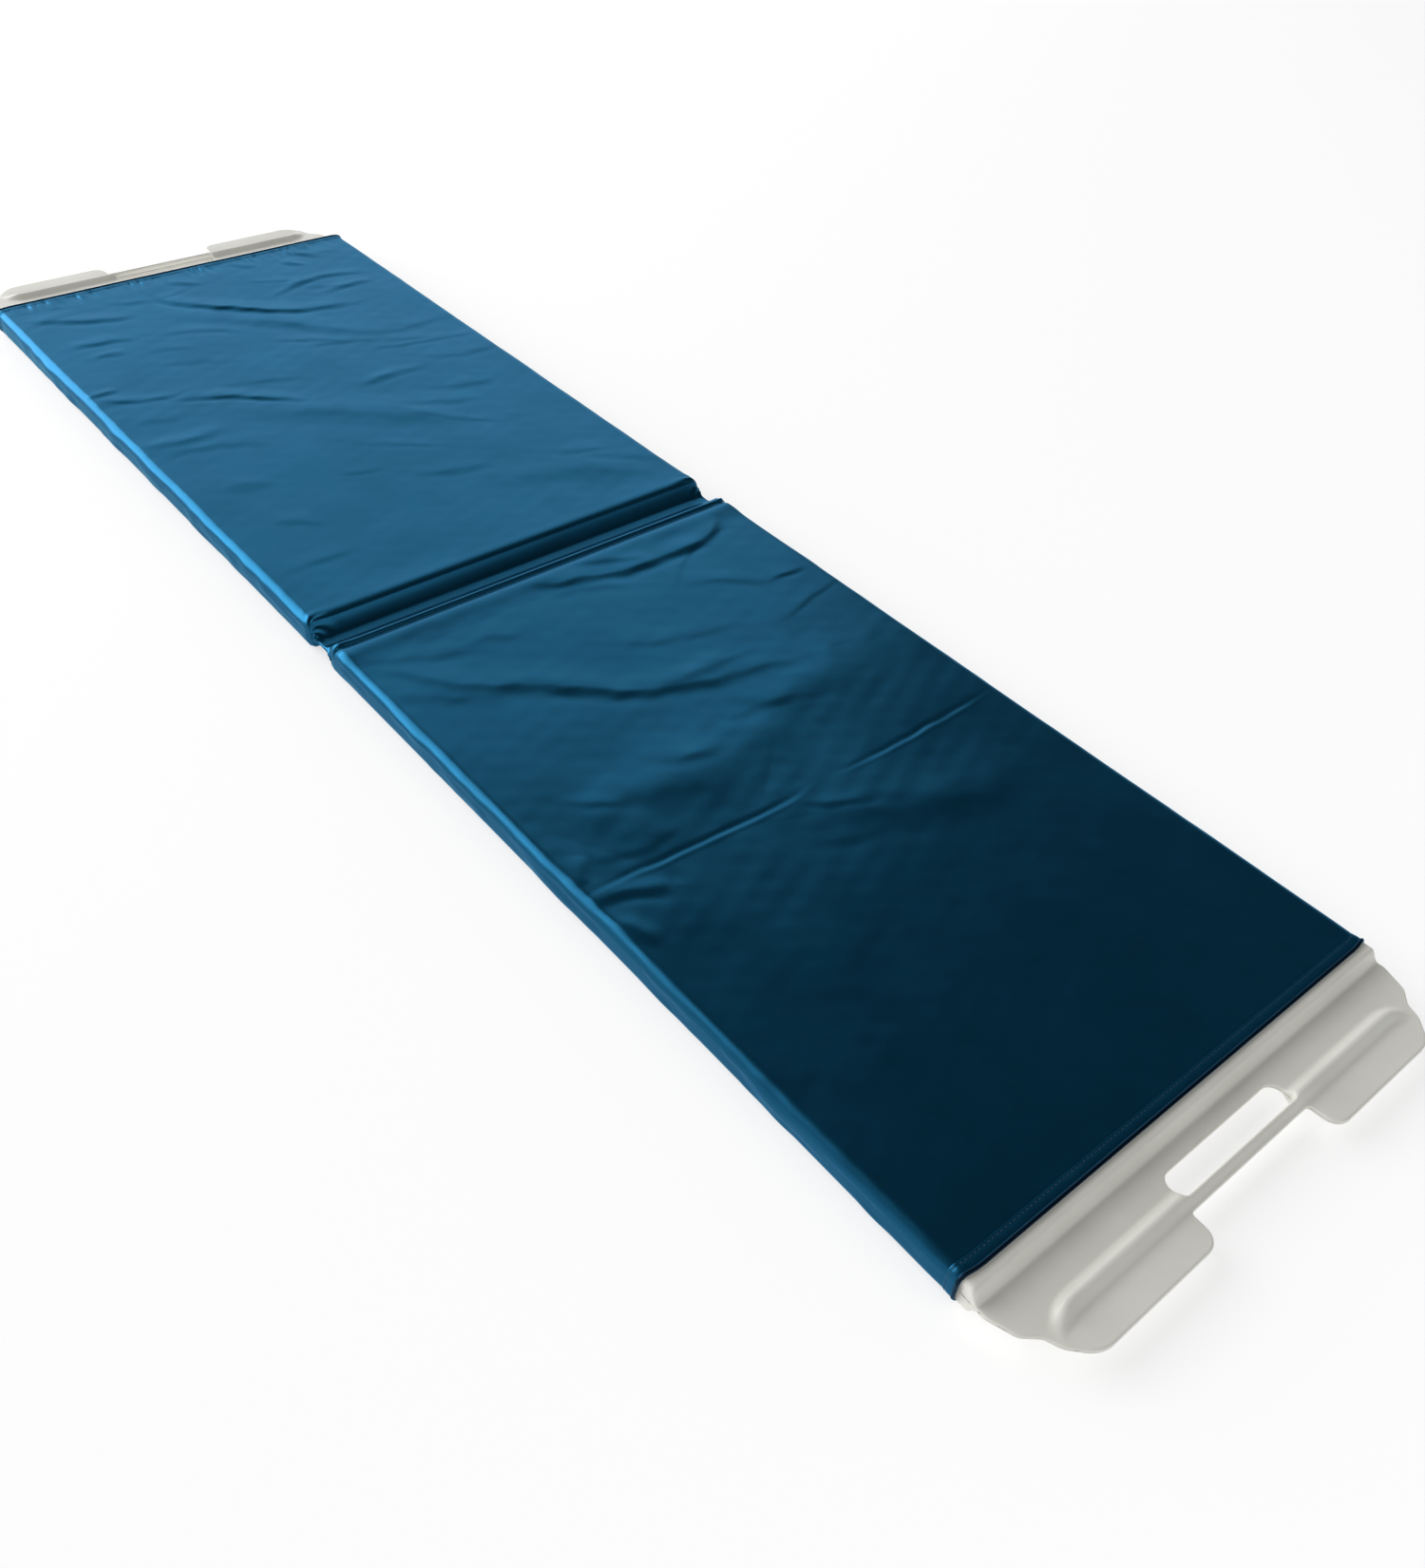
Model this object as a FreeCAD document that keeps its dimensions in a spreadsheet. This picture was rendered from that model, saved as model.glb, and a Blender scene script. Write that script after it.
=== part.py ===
import FreeCAD, Part
import os

import Sketcher
from FreeCAD import Placement, Rotation, Vector

# Folding patient transfer board: two moulded panels in one nylon sleeve, hinged by a textile web.
# Millimetres. X runs across the board, Y along it, Z up. The origin is under the middle of the fold,
# on the surface that the open board lies on. Every piece of a half is drawn at the head end (+Y) and
# above the mid-plane, then turned round into its place.

DIMENSIONS = [
    # alias, value, meaning
    ("sleeve_width", 500.0, "sleeve, across the board"),
    ("sleeve_height", 31.0, "sleeve, underside to top"),
    ("sleeve_wall", 0.6, "sleeve fabric as a solid"),
    ("sleeve_corner", 5.0, "outside radius along the sleeve's long edges"),
    ("sleeve_start", 22.0, "fold centre to the sleeve's face at the fold"),
    ("hem_start", 846.0, "fold centre to the hem seam"),
    ("hem_end", 858.0, "fold centre to the sleeve's open end"),
    ("elastic_width", 6.0, "elastic in the hems"),
    ("elastic_thick", 0.4, "elastic in the hems"),
    ("shell_width", 494.0, "moulded panel, across the board"),
    ("shell_height", 28.6, "moulded panel, underside to top"),
    ("shell_wall", 1.8, "moulded skin"),
    ("shell_corner", 4.0, "radius along the panel's long edges"),
    ("shell_start", 22.8, "fold centre to the panel's face at the fold"),
    ("joint_line", 852.0, "fold centre to where the grip moulding butts on the skins"),
    ("lip_end", 866.0, "fold centre to the top of the step down to the handle"),
    ("step_end", 873.0, "fold centre to the foot of that step"),
    ("tab_end", 945.0, "fold centre to the board's end"),
    ("flange_half", 2.2, "mid-plane to the handle's flat faces"),
    ("ridge_half", 7.8, "mid-plane to the grip ridge's crest"),
    ("ridge_foot_inner", 899.0, "fold centre to the ridge's inner foot"),
    ("ridge_crest_inner", 907.5, "fold centre to the crest's inner edge"),
    ("ridge_crest_outer", 910.5, "fold centre to the crest's outer edge"),
    ("ridge_foot_outer", 918.5, "fold centre to the ridge's outer foot"),
    ("ridge_reach", 216.0, "centre line to the ridge's end"),
    ("slot_inner", 887.5, "fold centre to the hand slot's inner side"),
    ("slot_outer", 908.5, "fold centre to the grip bar"),
    ("slot_reach", 70.0, "centre line to the hand slot's end"),
    ("slot_corner", 9.0, "hand slot corner radius"),
    ("shoulder_start", 880.0, "fold centre to where the handle starts to narrow"),
    ("shoulder_reach", 240.0, "centre line to the handle's shoulder"),
    ("shoulder_end", 904.0, "fold centre to the handle's shoulder"),
    ("waist_reach", 222.0, "centre line to the handle's waist"),
    ("waist_end", 921.0, "fold centre to the handle's waist"),
    ("tab_reach", 204.0, "centre line to the tab's outer corner"),
    ("tab_corner", 14.0, "tab corner radius"),
    ("notch_reach", 74.0, "centre line to the notch's side"),
    ("notch_fillet", 4.0, "radius between the grip bar and a tab"),
    ("hinge_half", 18.0, "fold centre to each hinge line"),
    ("web_thick", 1.8, "hinge webbing"),
    ("web_reach", 225.0, "centre line to the webbing's edge"),
    ("web_slit_half", 1.0, "half height of the slit that the webbing passes through"),
    ("flap_start", 19.2, "fold centre to the clamped part of the webbing"),
    ("bar_start", 26.0, "fold centre to the end bars"),
    ("bar_end", 51.0, "fold centre to the end bars' far side"),
    ("bar_reach", 240.0, "centre line to an end bar's end"),
    ("core_start", 52.0, "fold centre to the foam core"),
    ("core_end", 851.0, "fold centre to the foam core's far end"),
    ("core_clearance", 0.2, "foam core to the skins"),
    ("rivet_radius", 2.4, "rivet shank"),
    ("rivet_head_radius", 4.5, "rivet head"),
    ("rivet_head_thick", 1.8, "rivet head"),
    ("rivet_clearance", 0.2, "rivet shank to its hole"),
    ("rivet_line", 38.5, "fold centre to the row of rivets"),
    ("rivet_pitch", 58.0, "rivet to rivet"),
    ("rivet_count", 8, "rivets in each panel"),
    ("fold_cloth_reach", 245.0, "centre line to the edge of the sleeve in the fold"),
    ("fold_cloth_half", 16.4, "fold centre to where the fold's cloth meets a panel"),
    ("fold_cloth_gap", 1.2, "mid-plane to the cloth in the fold"),
    ("casing_centre", -10.0, "fold centre to the casing's centre line"),
    ("casing_width", 8.0, "casing round the fold"),
    ("casing_wall", 1.2, "casing, two layers of cloth and the elastic"),
    ("casing_elastic_width", 5.0, "elastic in the casing"),
    ("casing_elastic_thick", 0.5, "elastic in the casing"),
    ("fit_gap", 0.1, "between cloth layers that lie on each other"),
]

document = FreeCAD.newDocument("transfer_board")
dims = document.addObject("Spreadsheet::Sheet", "dims")
for row, (alias, value, meaning) in enumerate(DIMENSIONS, start=1):
    dims.set(f"A{row}", alias)
    dims.set(f"B{row}", str(value))
    dims.set(f"C{row}", meaning)
    dims.setAlias(f"B{row}", alias)
document.recompute()

MID = "dims.sleeve_height / 2"
SHELL_HALF = "dims.shell_height / 2"

sub_parts = []


# ---------------------------------------------------------------- placing

def turned(upside_down, foot):
    """Placement that turns a head-end, upper piece over and round to the foot end."""
    mid_height = dims.sleeve_height / 2
    place = Placement()
    if upside_down:
        about_y = Rotation(Vector(0, 1, 0), 180)
        place = Placement(Vector(0, 0, 2 * mid_height), about_y)
    if foot:
        about_z = Placement(Vector(0, 0, 0), Rotation(Vector(0, 0, 1), 180))
        place = about_z.multiply(place)
    return place


# ---------------------------------------------------------------- sketching

def origin_plane(body, role):
    return next(item for item in body.Origin.OriginFeatures if item.Role == role)


def new_body(label):
    body = document.addObject("PartDesign::Body", label)
    body.Label = label
    sub_parts.append(body)
    return body


def new_sketch(body, name, plane, level="0"):
    """Empty sketch on an origin plane, raised by an expression along the plane's normal."""
    sketch = body.newObject("Sketcher::SketchObject", name)
    sketch.AttachmentSupport = [(origin_plane(body, plane), "")]
    sketch.MapMode = "FlatFace"
    sketch.setExpression(".AttachmentOffset.Base.z", level)
    return sketch


def pin_point(sketch, geometry, point, across, up):
    """Hold one point of a sketch at two expressions."""
    for kind, expression in (("DistanceX", across), ("DistanceY", up)):
        value = float(sketch.evalExpression(expression))
        index = sketch.addConstraint(Sketcher.Constraint(kind, -1, 1, geometry, point, value))
        sketch.setExpression(f"Constraints[{index}]", expression)


def draw_polygon(sketch, corners):
    """Closed outline whose corners are pairs of expressions."""
    points = [Vector(float(sketch.evalExpression(a)), float(sketch.evalExpression(b)), 0) for a, b in corners]
    first = sketch.GeometryCount
    for start, end in zip(points, points[1:] + points[:1]):
        sketch.addGeometry(Part.LineSegment(start, end), False)
    for step, (across, up) in enumerate(corners):
        line = first + step
        following = first + (step + 1) % len(corners)
        sketch.addConstraint(Sketcher.Constraint("Coincident", line, 2, following, 1))
        pin_point(sketch, line, 1, across, up)


def draw_rectangle(sketch, left, right, low, high):
    draw_polygon(sketch, [(left, low), (right, low), (right, high), (left, high)])


def draw_circle(sketch, across, up, radius):
    centre = Vector(float(sketch.evalExpression(across)), float(sketch.evalExpression(up)), 0)
    size = float(sketch.evalExpression(radius))
    circle = sketch.addGeometry(Part.Circle(centre, Vector(0, 0, 1), size), False)
    pin_point(sketch, circle, 3, across, up)
    index = sketch.addConstraint(Sketcher.Constraint("Radius", circle, size))
    sketch.setExpression(f"Constraints[{index}]", radius)


# ---------------------------------------------------------------- features

def pad(body, sketch, name, length, symmetric=False, backwards=False):
    feature = body.newObject("PartDesign::Pad", name)
    feature.Profile = sketch
    feature.SideType = "Symmetric" if symmetric else "One side"
    feature.Reversed = backwards
    feature.setExpression("Length", length)
    document.recompute()
    return feature


def pocket(body, sketch, name, depth=None, forwards=False):
    """Cut a sketch out of the body: right through, or to a depth."""
    before = body.Shape.Volume
    feature = body.newObject("PartDesign::Pocket", name)
    feature.Profile = sketch
    feature.Reversed = forwards
    if depth is None:
        feature.SideType = "Symmetric"
        feature.Type = "ThroughAll"
    else:
        feature.setExpression("Length", depth)
    document.recompute()
    if body.Shape.Volume > before - 1e-3:
        raise RuntimeError(f"{body.Label}: {name} cuts nothing")
    return feature


def fillet(body, name, radius, wanted):
    """Round the edges of the body's last feature that the test picks."""
    base = body.Tip
    edges = [f"Edge{index}" for index, edge in enumerate(base.Shape.Edges, start=1) if wanted(edge)]
    if not edges:
        raise RuntimeError(f"{body.Label}: {name} finds no edges")
    feature = body.newObject("PartDesign::Fillet", name)
    feature.Base = (base, edges)
    feature.setExpression("Radius", radius)
    document.recompute()
    return feature


def is_upright_at(edge, spots):
    """True for a vertical edge that stands at one of the (|x|, y) spots."""
    box = edge.BoundBox
    if box.XLength > 0.01 or box.YLength > 0.01:
        return False
    return any(abs(abs(box.Center.x) - x) < 0.01 and abs(box.Center.y - y) < 0.01 for x, y in spots)


def is_long_rim(edge, half_width, height):
    """True for an edge along Y at the given half width and height."""
    box = edge.BoundBox
    at_side = abs(abs(box.Center.x) - half_width) < 0.01 and box.XLength < 0.01
    return at_side and abs(box.Center.z - height) < 0.01 and box.ZLength < 0.01


def round_corners(body, name, radius, half_width, levels):
    """Round the edges that run along Y at the given half width and heights."""
    return fillet(body, name, radius,
                  lambda edge: any(is_long_rim(edge, half_width, level) for level in levels))


def repeat_across(body, originals, name):
    """Repeat features along X, once for each rivet."""
    pattern = body.newObject("PartDesign::LinearPattern", name)
    pattern.Originals = originals
    pattern.Direction = (next(i for i in body.Origin.OriginFeatures if i.Role == "X_Axis"), [""])
    pattern.setExpression("Length", "dims.rivet_pitch * (dims.rivet_count - 1)")
    pattern.setExpression("Occurrences", "dims.rivet_count")
    body.Tip = pattern
    document.recompute()
    return pattern


# ---------------------------------------------------------------- moulded panels

SLIT_REACH = "dims.web_reach + dims.web_slit_half"
FIRST_RIVET = "-dims.rivet_pitch * (dims.rivet_count - 1) / 2"

GRIP_OUTLINE = [
    ("dims.shell_width / 2", "dims.joint_line"),
    ("dims.shell_width / 2", "dims.shoulder_start"),
    ("dims.shoulder_reach", "dims.shoulder_end"),
    ("dims.waist_reach", "dims.waist_end"),
    ("dims.tab_reach", "dims.tab_end"),
    ("dims.notch_reach", "dims.tab_end"),
    ("dims.notch_reach", "dims.ridge_foot_outer"),
]


def build_shell(label, place):
    """Upper skin of a panel: a shallow tray, open at the mid-plane and towards the grip."""
    body = new_body(label)
    plan = new_sketch(body, label + "_plan", "XY_Plane", MID)
    draw_rectangle(plan, "-dims.shell_width / 2", "dims.shell_width / 2", "dims.shell_start", "dims.joint_line")
    pad(body, plan, label + "_block", SHELL_HALF)
    top_height = (dims.sleeve_height + dims.shell_height) / 2

    def is_rounded(edge):
        box = edge.BoundBox
        at_fold = abs(box.Center.y - dims.shell_start) < 0.01 and box.YLength < 0.01
        on_mid_plane = abs(box.ZMax - dims.sleeve_height / 2) < 0.01
        return is_long_rim(edge, dims.shell_width / 2, top_height) or (at_fold and not on_mid_plane)

    fillet(body, label + "_edges", "dims.shell_corner", is_rounded)

    cavity = new_sketch(body, label + "_cavity_plan", "XY_Plane", MID)
    inside = "dims.shell_width / 2 - dims.shell_wall"
    draw_rectangle(cavity, f"-({inside})", inside, "dims.shell_start + dims.shell_wall", "dims.joint_line")
    pocket(body, cavity, label + "_cavity", f"{SHELL_HALF} - dims.shell_wall", forwards=True)

    slit = new_sketch(body, label + "_slit_plan", "XY_Plane", MID)
    draw_rectangle(slit, f"-({SLIT_REACH})", SLIT_REACH, "0", "dims.shell_start + 2 * dims.shell_wall")
    pocket(body, slit, label + "_slit", "dims.web_slit_half", forwards=True)
    body.Placement = place


def build_grip(label, place):
    """Upper half of a grip moulding: lip, step, hand slot, ridge that forms the bar, and two tabs."""
    body = new_body(label)
    top = f"{MID} + {SHELL_HALF}"
    flange = f"{MID} + dims.flange_half"
    crest = f"{MID} + dims.ridge_half"

    profile = new_sketch(body, label + "_profile", "YZ_Plane")
    draw_polygon(profile, [
        ("dims.joint_line", MID),
        ("dims.tab_end", MID),
        ("dims.tab_end", flange),
        ("dims.step_end", flange),
        ("dims.lip_end", top),
        ("dims.joint_line", top),
    ])
    pad(body, profile, label + "_block", "dims.shell_width", symmetric=True)

    ridge = new_sketch(body, label + "_ridge_profile", "YZ_Plane")
    draw_polygon(ridge, [
        ("dims.ridge_foot_inner", MID),
        ("dims.ridge_foot_outer", MID),
        ("dims.ridge_foot_outer", flange),
        ("dims.ridge_crest_outer", crest),
        ("dims.ridge_crest_inner", crest),
        ("dims.ridge_foot_inner", flange),
    ])
    pad(body, ridge, label + "_ridge", "2 * dims.ridge_reach", symmetric=True)

    waste = new_sketch(body, label + "_waste", "XY_Plane")
    draw_rectangle(waste, "-dims.shell_width", "dims.shell_width", "dims.core_start", "2 * dims.tab_end")
    left_side = [(f"-({across})", along) for across, along in reversed(GRIP_OUTLINE)]
    draw_polygon(waste, GRIP_OUTLINE + left_side)
    pocket(body, waste, label + "_trim")
    tab_spots = [(dims.tab_reach, dims.tab_end), (dims.notch_reach, dims.tab_end)]
    fillet(body, label + "_tab_corners", "dims.tab_corner", lambda edge: is_upright_at(edge, tab_spots))
    notch_spots = [(dims.notch_reach, dims.ridge_foot_outer)]
    fillet(body, label + "_notch_fillets", "dims.notch_fillet", lambda edge: is_upright_at(edge, notch_spots))
    top_height = (dims.sleeve_height + dims.shell_height) / 2
    round_corners(body, label + "_edges", "dims.shell_corner", dims.shell_width / 2, (top_height,))

    slot = new_sketch(body, label + "_slot_plan", "XY_Plane")
    draw_rectangle(slot, "-dims.slot_reach", "dims.slot_reach", "dims.slot_inner", "dims.slot_outer")
    pocket(body, slot, label + "_slot")
    slot_spots = [(dims.slot_reach, dims.slot_inner), (dims.slot_reach, dims.slot_outer)]
    fillet(body, label + "_slot_corners", "dims.slot_corner", lambda edge: is_upright_at(edge, slot_spots))
    body.Placement = place


def build_foam_core(label, place):
    body = new_body(label)
    plan = new_sketch(body, label + "_plan", "XY_Plane", MID)
    reach = "dims.shell_width / 2 - dims.shell_wall - dims.core_clearance"
    draw_rectangle(plan, f"-({reach})", reach, "dims.core_start", "dims.core_end")
    thickness = "dims.shell_height - 2 * (dims.shell_wall + dims.core_clearance)"
    pad(body, plan, label + "_slab", thickness, symmetric=True)
    body.Placement = place


# ---------------------------------------------------------------- hinge web and its clamping

def build_end_bar(label, place):
    """Bar between the webbing and a skin, with counterbored rivet holes."""
    body = new_body(label)
    underside = f"{MID} + dims.web_thick / 2"
    bar_top = f"{SHELL_HALF} - dims.shell_wall - dims.core_clearance"
    plan = new_sketch(body, label + "_plan", "XY_Plane", underside)
    draw_rectangle(plan, "-dims.bar_reach", "dims.bar_reach", "dims.bar_start", "dims.bar_end")
    pad(body, plan, label + "_block", f"{bar_top} - dims.web_thick / 2")

    hole_plan = new_sketch(body, label + "_hole_plan", "XY_Plane")
    draw_circle(hole_plan, FIRST_RIVET, "dims.rivet_line", "dims.rivet_radius + dims.rivet_clearance")
    hole = pocket(body, hole_plan, label + "_hole")
    recess_plan = new_sketch(body, label + "_recess_plan", "XY_Plane", f"{MID} + {bar_top}")
    draw_circle(recess_plan, FIRST_RIVET, "dims.rivet_line", "dims.rivet_head_radius + dims.rivet_clearance")
    recess = pocket(body, recess_plan, label + "_recess", "dims.rivet_head_thick")
    repeat_across(body, [hole, recess], label + "_holes")
    body.Placement = place


def build_rivets(label, place):
    """Row of rivets, each a shank with a head at both ends."""
    body = new_body(label)
    body.AllowCompound = True
    head_top = f"({SHELL_HALF} - dims.shell_wall - dims.core_clearance)"
    shank_end = f"({head_top} - dims.rivet_head_thick)"
    section = new_sketch(body, label + "_section", "XZ_Plane", "-dims.rivet_line")
    section.setExpression(".AttachmentOffset.Base.x", FIRST_RIVET)
    section.setExpression(".AttachmentOffset.Base.y", MID)
    draw_polygon(section, [
        ("0", f"-{head_top}"),
        ("dims.rivet_head_radius", f"-{head_top}"),
        ("dims.rivet_head_radius", f"-{shank_end}"),
        ("dims.rivet_radius", f"-{shank_end}"),
        ("dims.rivet_radius", shank_end),
        ("dims.rivet_head_radius", shank_end),
        ("dims.rivet_head_radius", head_top),
        ("0", head_top),
    ])
    turned_rivet = body.newObject("PartDesign::Revolution", label + "_rivet")
    turned_rivet.Profile = section
    turned_rivet.ReferenceAxis = (section, ["V_Axis"])
    turned_rivet.Angle = 360
    document.recompute()
    repeat_across(body, [turned_rivet], label + "_row")
    body.Placement = place


def build_web_flap(label, place):
    """Clamped end of the webbing, from just outside the panel to the far side of the bars."""
    body = new_body(label)
    plan = new_sketch(body, label + "_plan", "XY_Plane", MID)
    draw_rectangle(plan, "-dims.web_reach", "dims.web_reach", "dims.flap_start", "dims.bar_end")
    pad(body, plan, label + "_sheet", "dims.web_thick", symmetric=True)
    hole_plan = new_sketch(body, label + "_hole_plan", "XY_Plane")
    draw_circle(hole_plan, FIRST_RIVET, "dims.rivet_line", "dims.rivet_radius + dims.rivet_clearance")
    hole = pocket(body, hole_plan, label + "_hole")
    repeat_across(body, [hole], label + "_holes")
    body.Placement = place


def build_fold_web():
    """Free webbing between the two hinge lines, with its edges round about those lines."""
    body = new_body("fold_web")
    plan = new_sketch(body, "fold_web_plan", "XY_Plane", MID)
    edge = "dims.hinge_half + dims.web_thick / 2"
    draw_rectangle(plan, "-dims.web_reach", "dims.web_reach", f"-({edge})", edge)
    pad(body, plan, "fold_web_sheet", "dims.web_thick", symmetric=True)
    reach = dims.hinge_half + dims.web_thick / 2

    def is_end_rim(edge_found):
        box = edge_found.BoundBox
        return abs(abs(box.Center.y) - reach) < 0.01 and box.XLength > dims.web_reach

    # A hair under half the thickness, so that the two rounds never meet in a zero-width face.
    fillet(body, "fold_web_edges", "dims.web_thick / 2 - 0.01", is_end_rim)


# ---------------------------------------------------------------- sleeve

def build_sleeve(label, place):
    """Cloth tube over one panel: open at the hem, closed at the fold but for the webbing's slit."""
    body = new_body(label)
    wall = dims.sleeve_wall
    half_width = dims.sleeve_width / 2
    height = dims.sleeve_height

    def edges_of_box(inset):
        """Test for the long edges and the fold-end edges of the outer box or of one inside it."""
        def wanted(edge):
            box = edge.BoundBox
            levels = (inset, height - inset)
            along = any(is_long_rim(edge, half_width - inset, level) for level in levels)
            at_fold = abs(box.Center.y - dims.sleeve_start - inset) < 0.01 and box.YLength < 0.01
            return along or at_fold
        return wanted

    section = new_sketch(body, label + "_section", "XZ_Plane", "-dims.hem_start")
    half = "dims.sleeve_width / 2"
    draw_rectangle(section, f"-{half}", half, "0", "dims.sleeve_height")
    pad(body, section, label + "_block", "dims.hem_start - dims.sleeve_start")

    inside = new_sketch(body, label + "_inside_section", "XZ_Plane", "-dims.hem_start")
    inner = f"{half} - dims.sleeve_wall"
    draw_rectangle(inside, f"-({inner})", inner, "dims.sleeve_wall", "dims.sleeve_height - dims.sleeve_wall")
    depth = "dims.hem_start - dims.sleeve_start - dims.sleeve_wall"
    pocket(body, inside, label + "_inside", depth, forwards=True)
    fillet(body, label + "_inside_edges", "dims.sleeve_corner - dims.sleeve_wall", edges_of_box(wall))
    fillet(body, label + "_edges", "dims.sleeve_corner", edges_of_box(0))

    slit = new_sketch(body, label + "_slit_section", "XZ_Plane")
    draw_rectangle(slit, f"-({SLIT_REACH})", SLIT_REACH,
                   f"{MID} - dims.web_slit_half", f"{MID} + dims.web_slit_half")
    pocket(body, slit, label + "_slit", "dims.bar_start")
    body.Placement = place


def draw_band(sketch, half_width, low, high, wall):
    """Rectangular band in section: an outer rectangle and one a wall further in."""
    draw_rectangle(sketch, f"-({half_width})", half_width, low, high)
    inner = f"({half_width}) - ({wall})"
    draw_rectangle(sketch, f"-({inner})", inner, f"({low}) + ({wall})", f"({high}) - ({wall})")


def build_hem(label, place):
    """Band at the sleeve's open end. Its elastic lies inside it."""
    body = new_body(label)
    section = new_sketch(body, label + "_section", "XZ_Plane", "-dims.hem_end")
    draw_band(section, "dims.sleeve_width / 2", "0", "dims.sleeve_height", "dims.sleeve_wall")
    pad(body, section, label + "_band", "dims.hem_end - dims.hem_start")
    half_width = dims.sleeve_width / 2
    height = dims.sleeve_height
    wall = dims.sleeve_wall
    round_corners(body, label + "_inside_edges", "dims.sleeve_corner - dims.sleeve_wall",
                  half_width - wall, (wall, height - wall))
    round_corners(body, label + "_edges", "dims.sleeve_corner", half_width, (0, height))
    body.Placement = place


def build_hem_elastic(label, place):
    """Flat elastic inside the hem, close round the panel and the grip moulding."""
    body = new_body(label)
    middle = "(dims.hem_start + dims.hem_end) / 2"
    section = new_sketch(body, label + "_section", "XZ_Plane", f"-({middle} + dims.elastic_width / 2)")
    lift = "(dims.elastic_thick + dims.fit_gap)"
    low = f"{MID} - {SHELL_HALF} - {lift}"
    high = f"{MID} + {SHELL_HALF} + {lift}"
    draw_band(section, f"dims.shell_width / 2 + {lift}", low, high, "dims.elastic_thick")
    pad(body, section, label + "_band", "dims.elastic_width")
    gap = dims.fit_gap
    middle_height = dims.sleeve_height / 2
    for name, radius, outwards in (("_inside_edges", "dims.shell_corner", gap),
                                   ("_edges", "dims.shell_corner + dims.elastic_thick",
                                    gap + dims.elastic_thick)):
        half_height = dims.shell_height / 2 + outwards
        round_corners(body, label + name, radius, dims.shell_width / 2 + outwards,
                      (middle_height - half_height, middle_height + half_height))
    body.Placement = place


def build_fold_sleeve(label, place):
    """Cloth over the webbing, between the two hinge lines."""
    body = new_body(label)
    plan = new_sketch(body, label + "_plan", "XY_Plane", f"{MID} + dims.fold_cloth_gap")
    reach = "dims.fold_cloth_reach"
    draw_rectangle(plan, f"-{reach}", reach, "-dims.fold_cloth_half", "dims.fold_cloth_half")
    pad(body, plan, label + "_sheet", "dims.sleeve_wall")
    body.Placement = place


def build_casing():
    """Narrow band sewn round the sleeve in the fold, and the elastic that gathers it."""
    cloth_top = "dims.fold_cloth_gap + dims.sleeve_wall + dims.fit_gap"
    outer = f"{cloth_top} + dims.casing_wall"
    groove = f"{cloth_top} + dims.casing_elastic_thick"
    side = "dims.fold_cloth_reach + dims.fit_gap"

    elastic = new_body("fold_elastic")
    face = "-(dims.casing_centre + dims.casing_elastic_width / 2)"
    section = new_sketch(elastic, "fold_elastic_section", "XZ_Plane", face)
    draw_band(section, f"{side} + dims.casing_elastic_thick", f"{MID} - ({groove})", f"{MID} + ({groove})",
              "dims.casing_elastic_thick")
    pad(elastic, section, "fold_elastic_band", "dims.casing_elastic_width")

    casing = new_body("fold_casing")
    face = "-(dims.casing_centre + dims.casing_width / 2)"
    section = new_sketch(casing, "fold_casing_section", "XZ_Plane", face)
    cover = "(dims.casing_wall - dims.casing_elastic_thick)"
    draw_band(section, f"{side} + dims.casing_wall", f"{MID} - ({outer})", f"{MID} + ({outer})",
              f"{cover} - dims.fit_gap")
    pad(casing, section, "fold_casing_band", "dims.casing_width")


# ---------------------------------------------------------------- the board

for end in ("foot", "head"):
    at_foot = end == "foot"
    for level in ("upper", "lower"):
        place_here = turned(level == "lower", at_foot)
        build_shell(f"{end}_{level}_shell", place_here)
        build_grip(f"{end}_{level}_grip", place_here)
        build_end_bar(f"{end}_end_bar_{level}", place_here)
    upright = turned(False, at_foot)
    build_foam_core(f"{end}_foam_core", upright)
    build_rivets(f"{end}_rivets", upright)
    build_web_flap(f"{end}_web_flap", upright)
    build_sleeve(f"{end}_sleeve", upright)
    build_hem(f"{end}_hem", upright)
    build_hem_elastic(f"{end}_hem_elastic", upright)

build_fold_web()
build_fold_sleeve("fold_sleeve_upper", turned(False, False))
build_fold_sleeve("fold_sleeve_lower", turned(True, False))
build_casing()

document.recompute()

for item in document.Objects:
    if "Invalid" in item.State or "Error" in item.State:
        raise RuntimeError(f"{item.Label} failed: {item.State}")
for piece in sub_parts:
    if piece.Shape.isNull() or not piece.Shape.isValid():
        raise RuntimeError(f"{piece.Label} has no valid shape")

os.makedirs("parts", exist_ok=True)
for piece in sub_parts:
    piece.Shape.exportStep(f"parts/{piece.Label}.step")
print(f"{len(sub_parts)} sub-parts written")
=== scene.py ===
import math

import bpy
import numpy as np
from mathutils import Matrix, Vector
from mathutils.geometry import delaunay_2d_cdt


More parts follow.
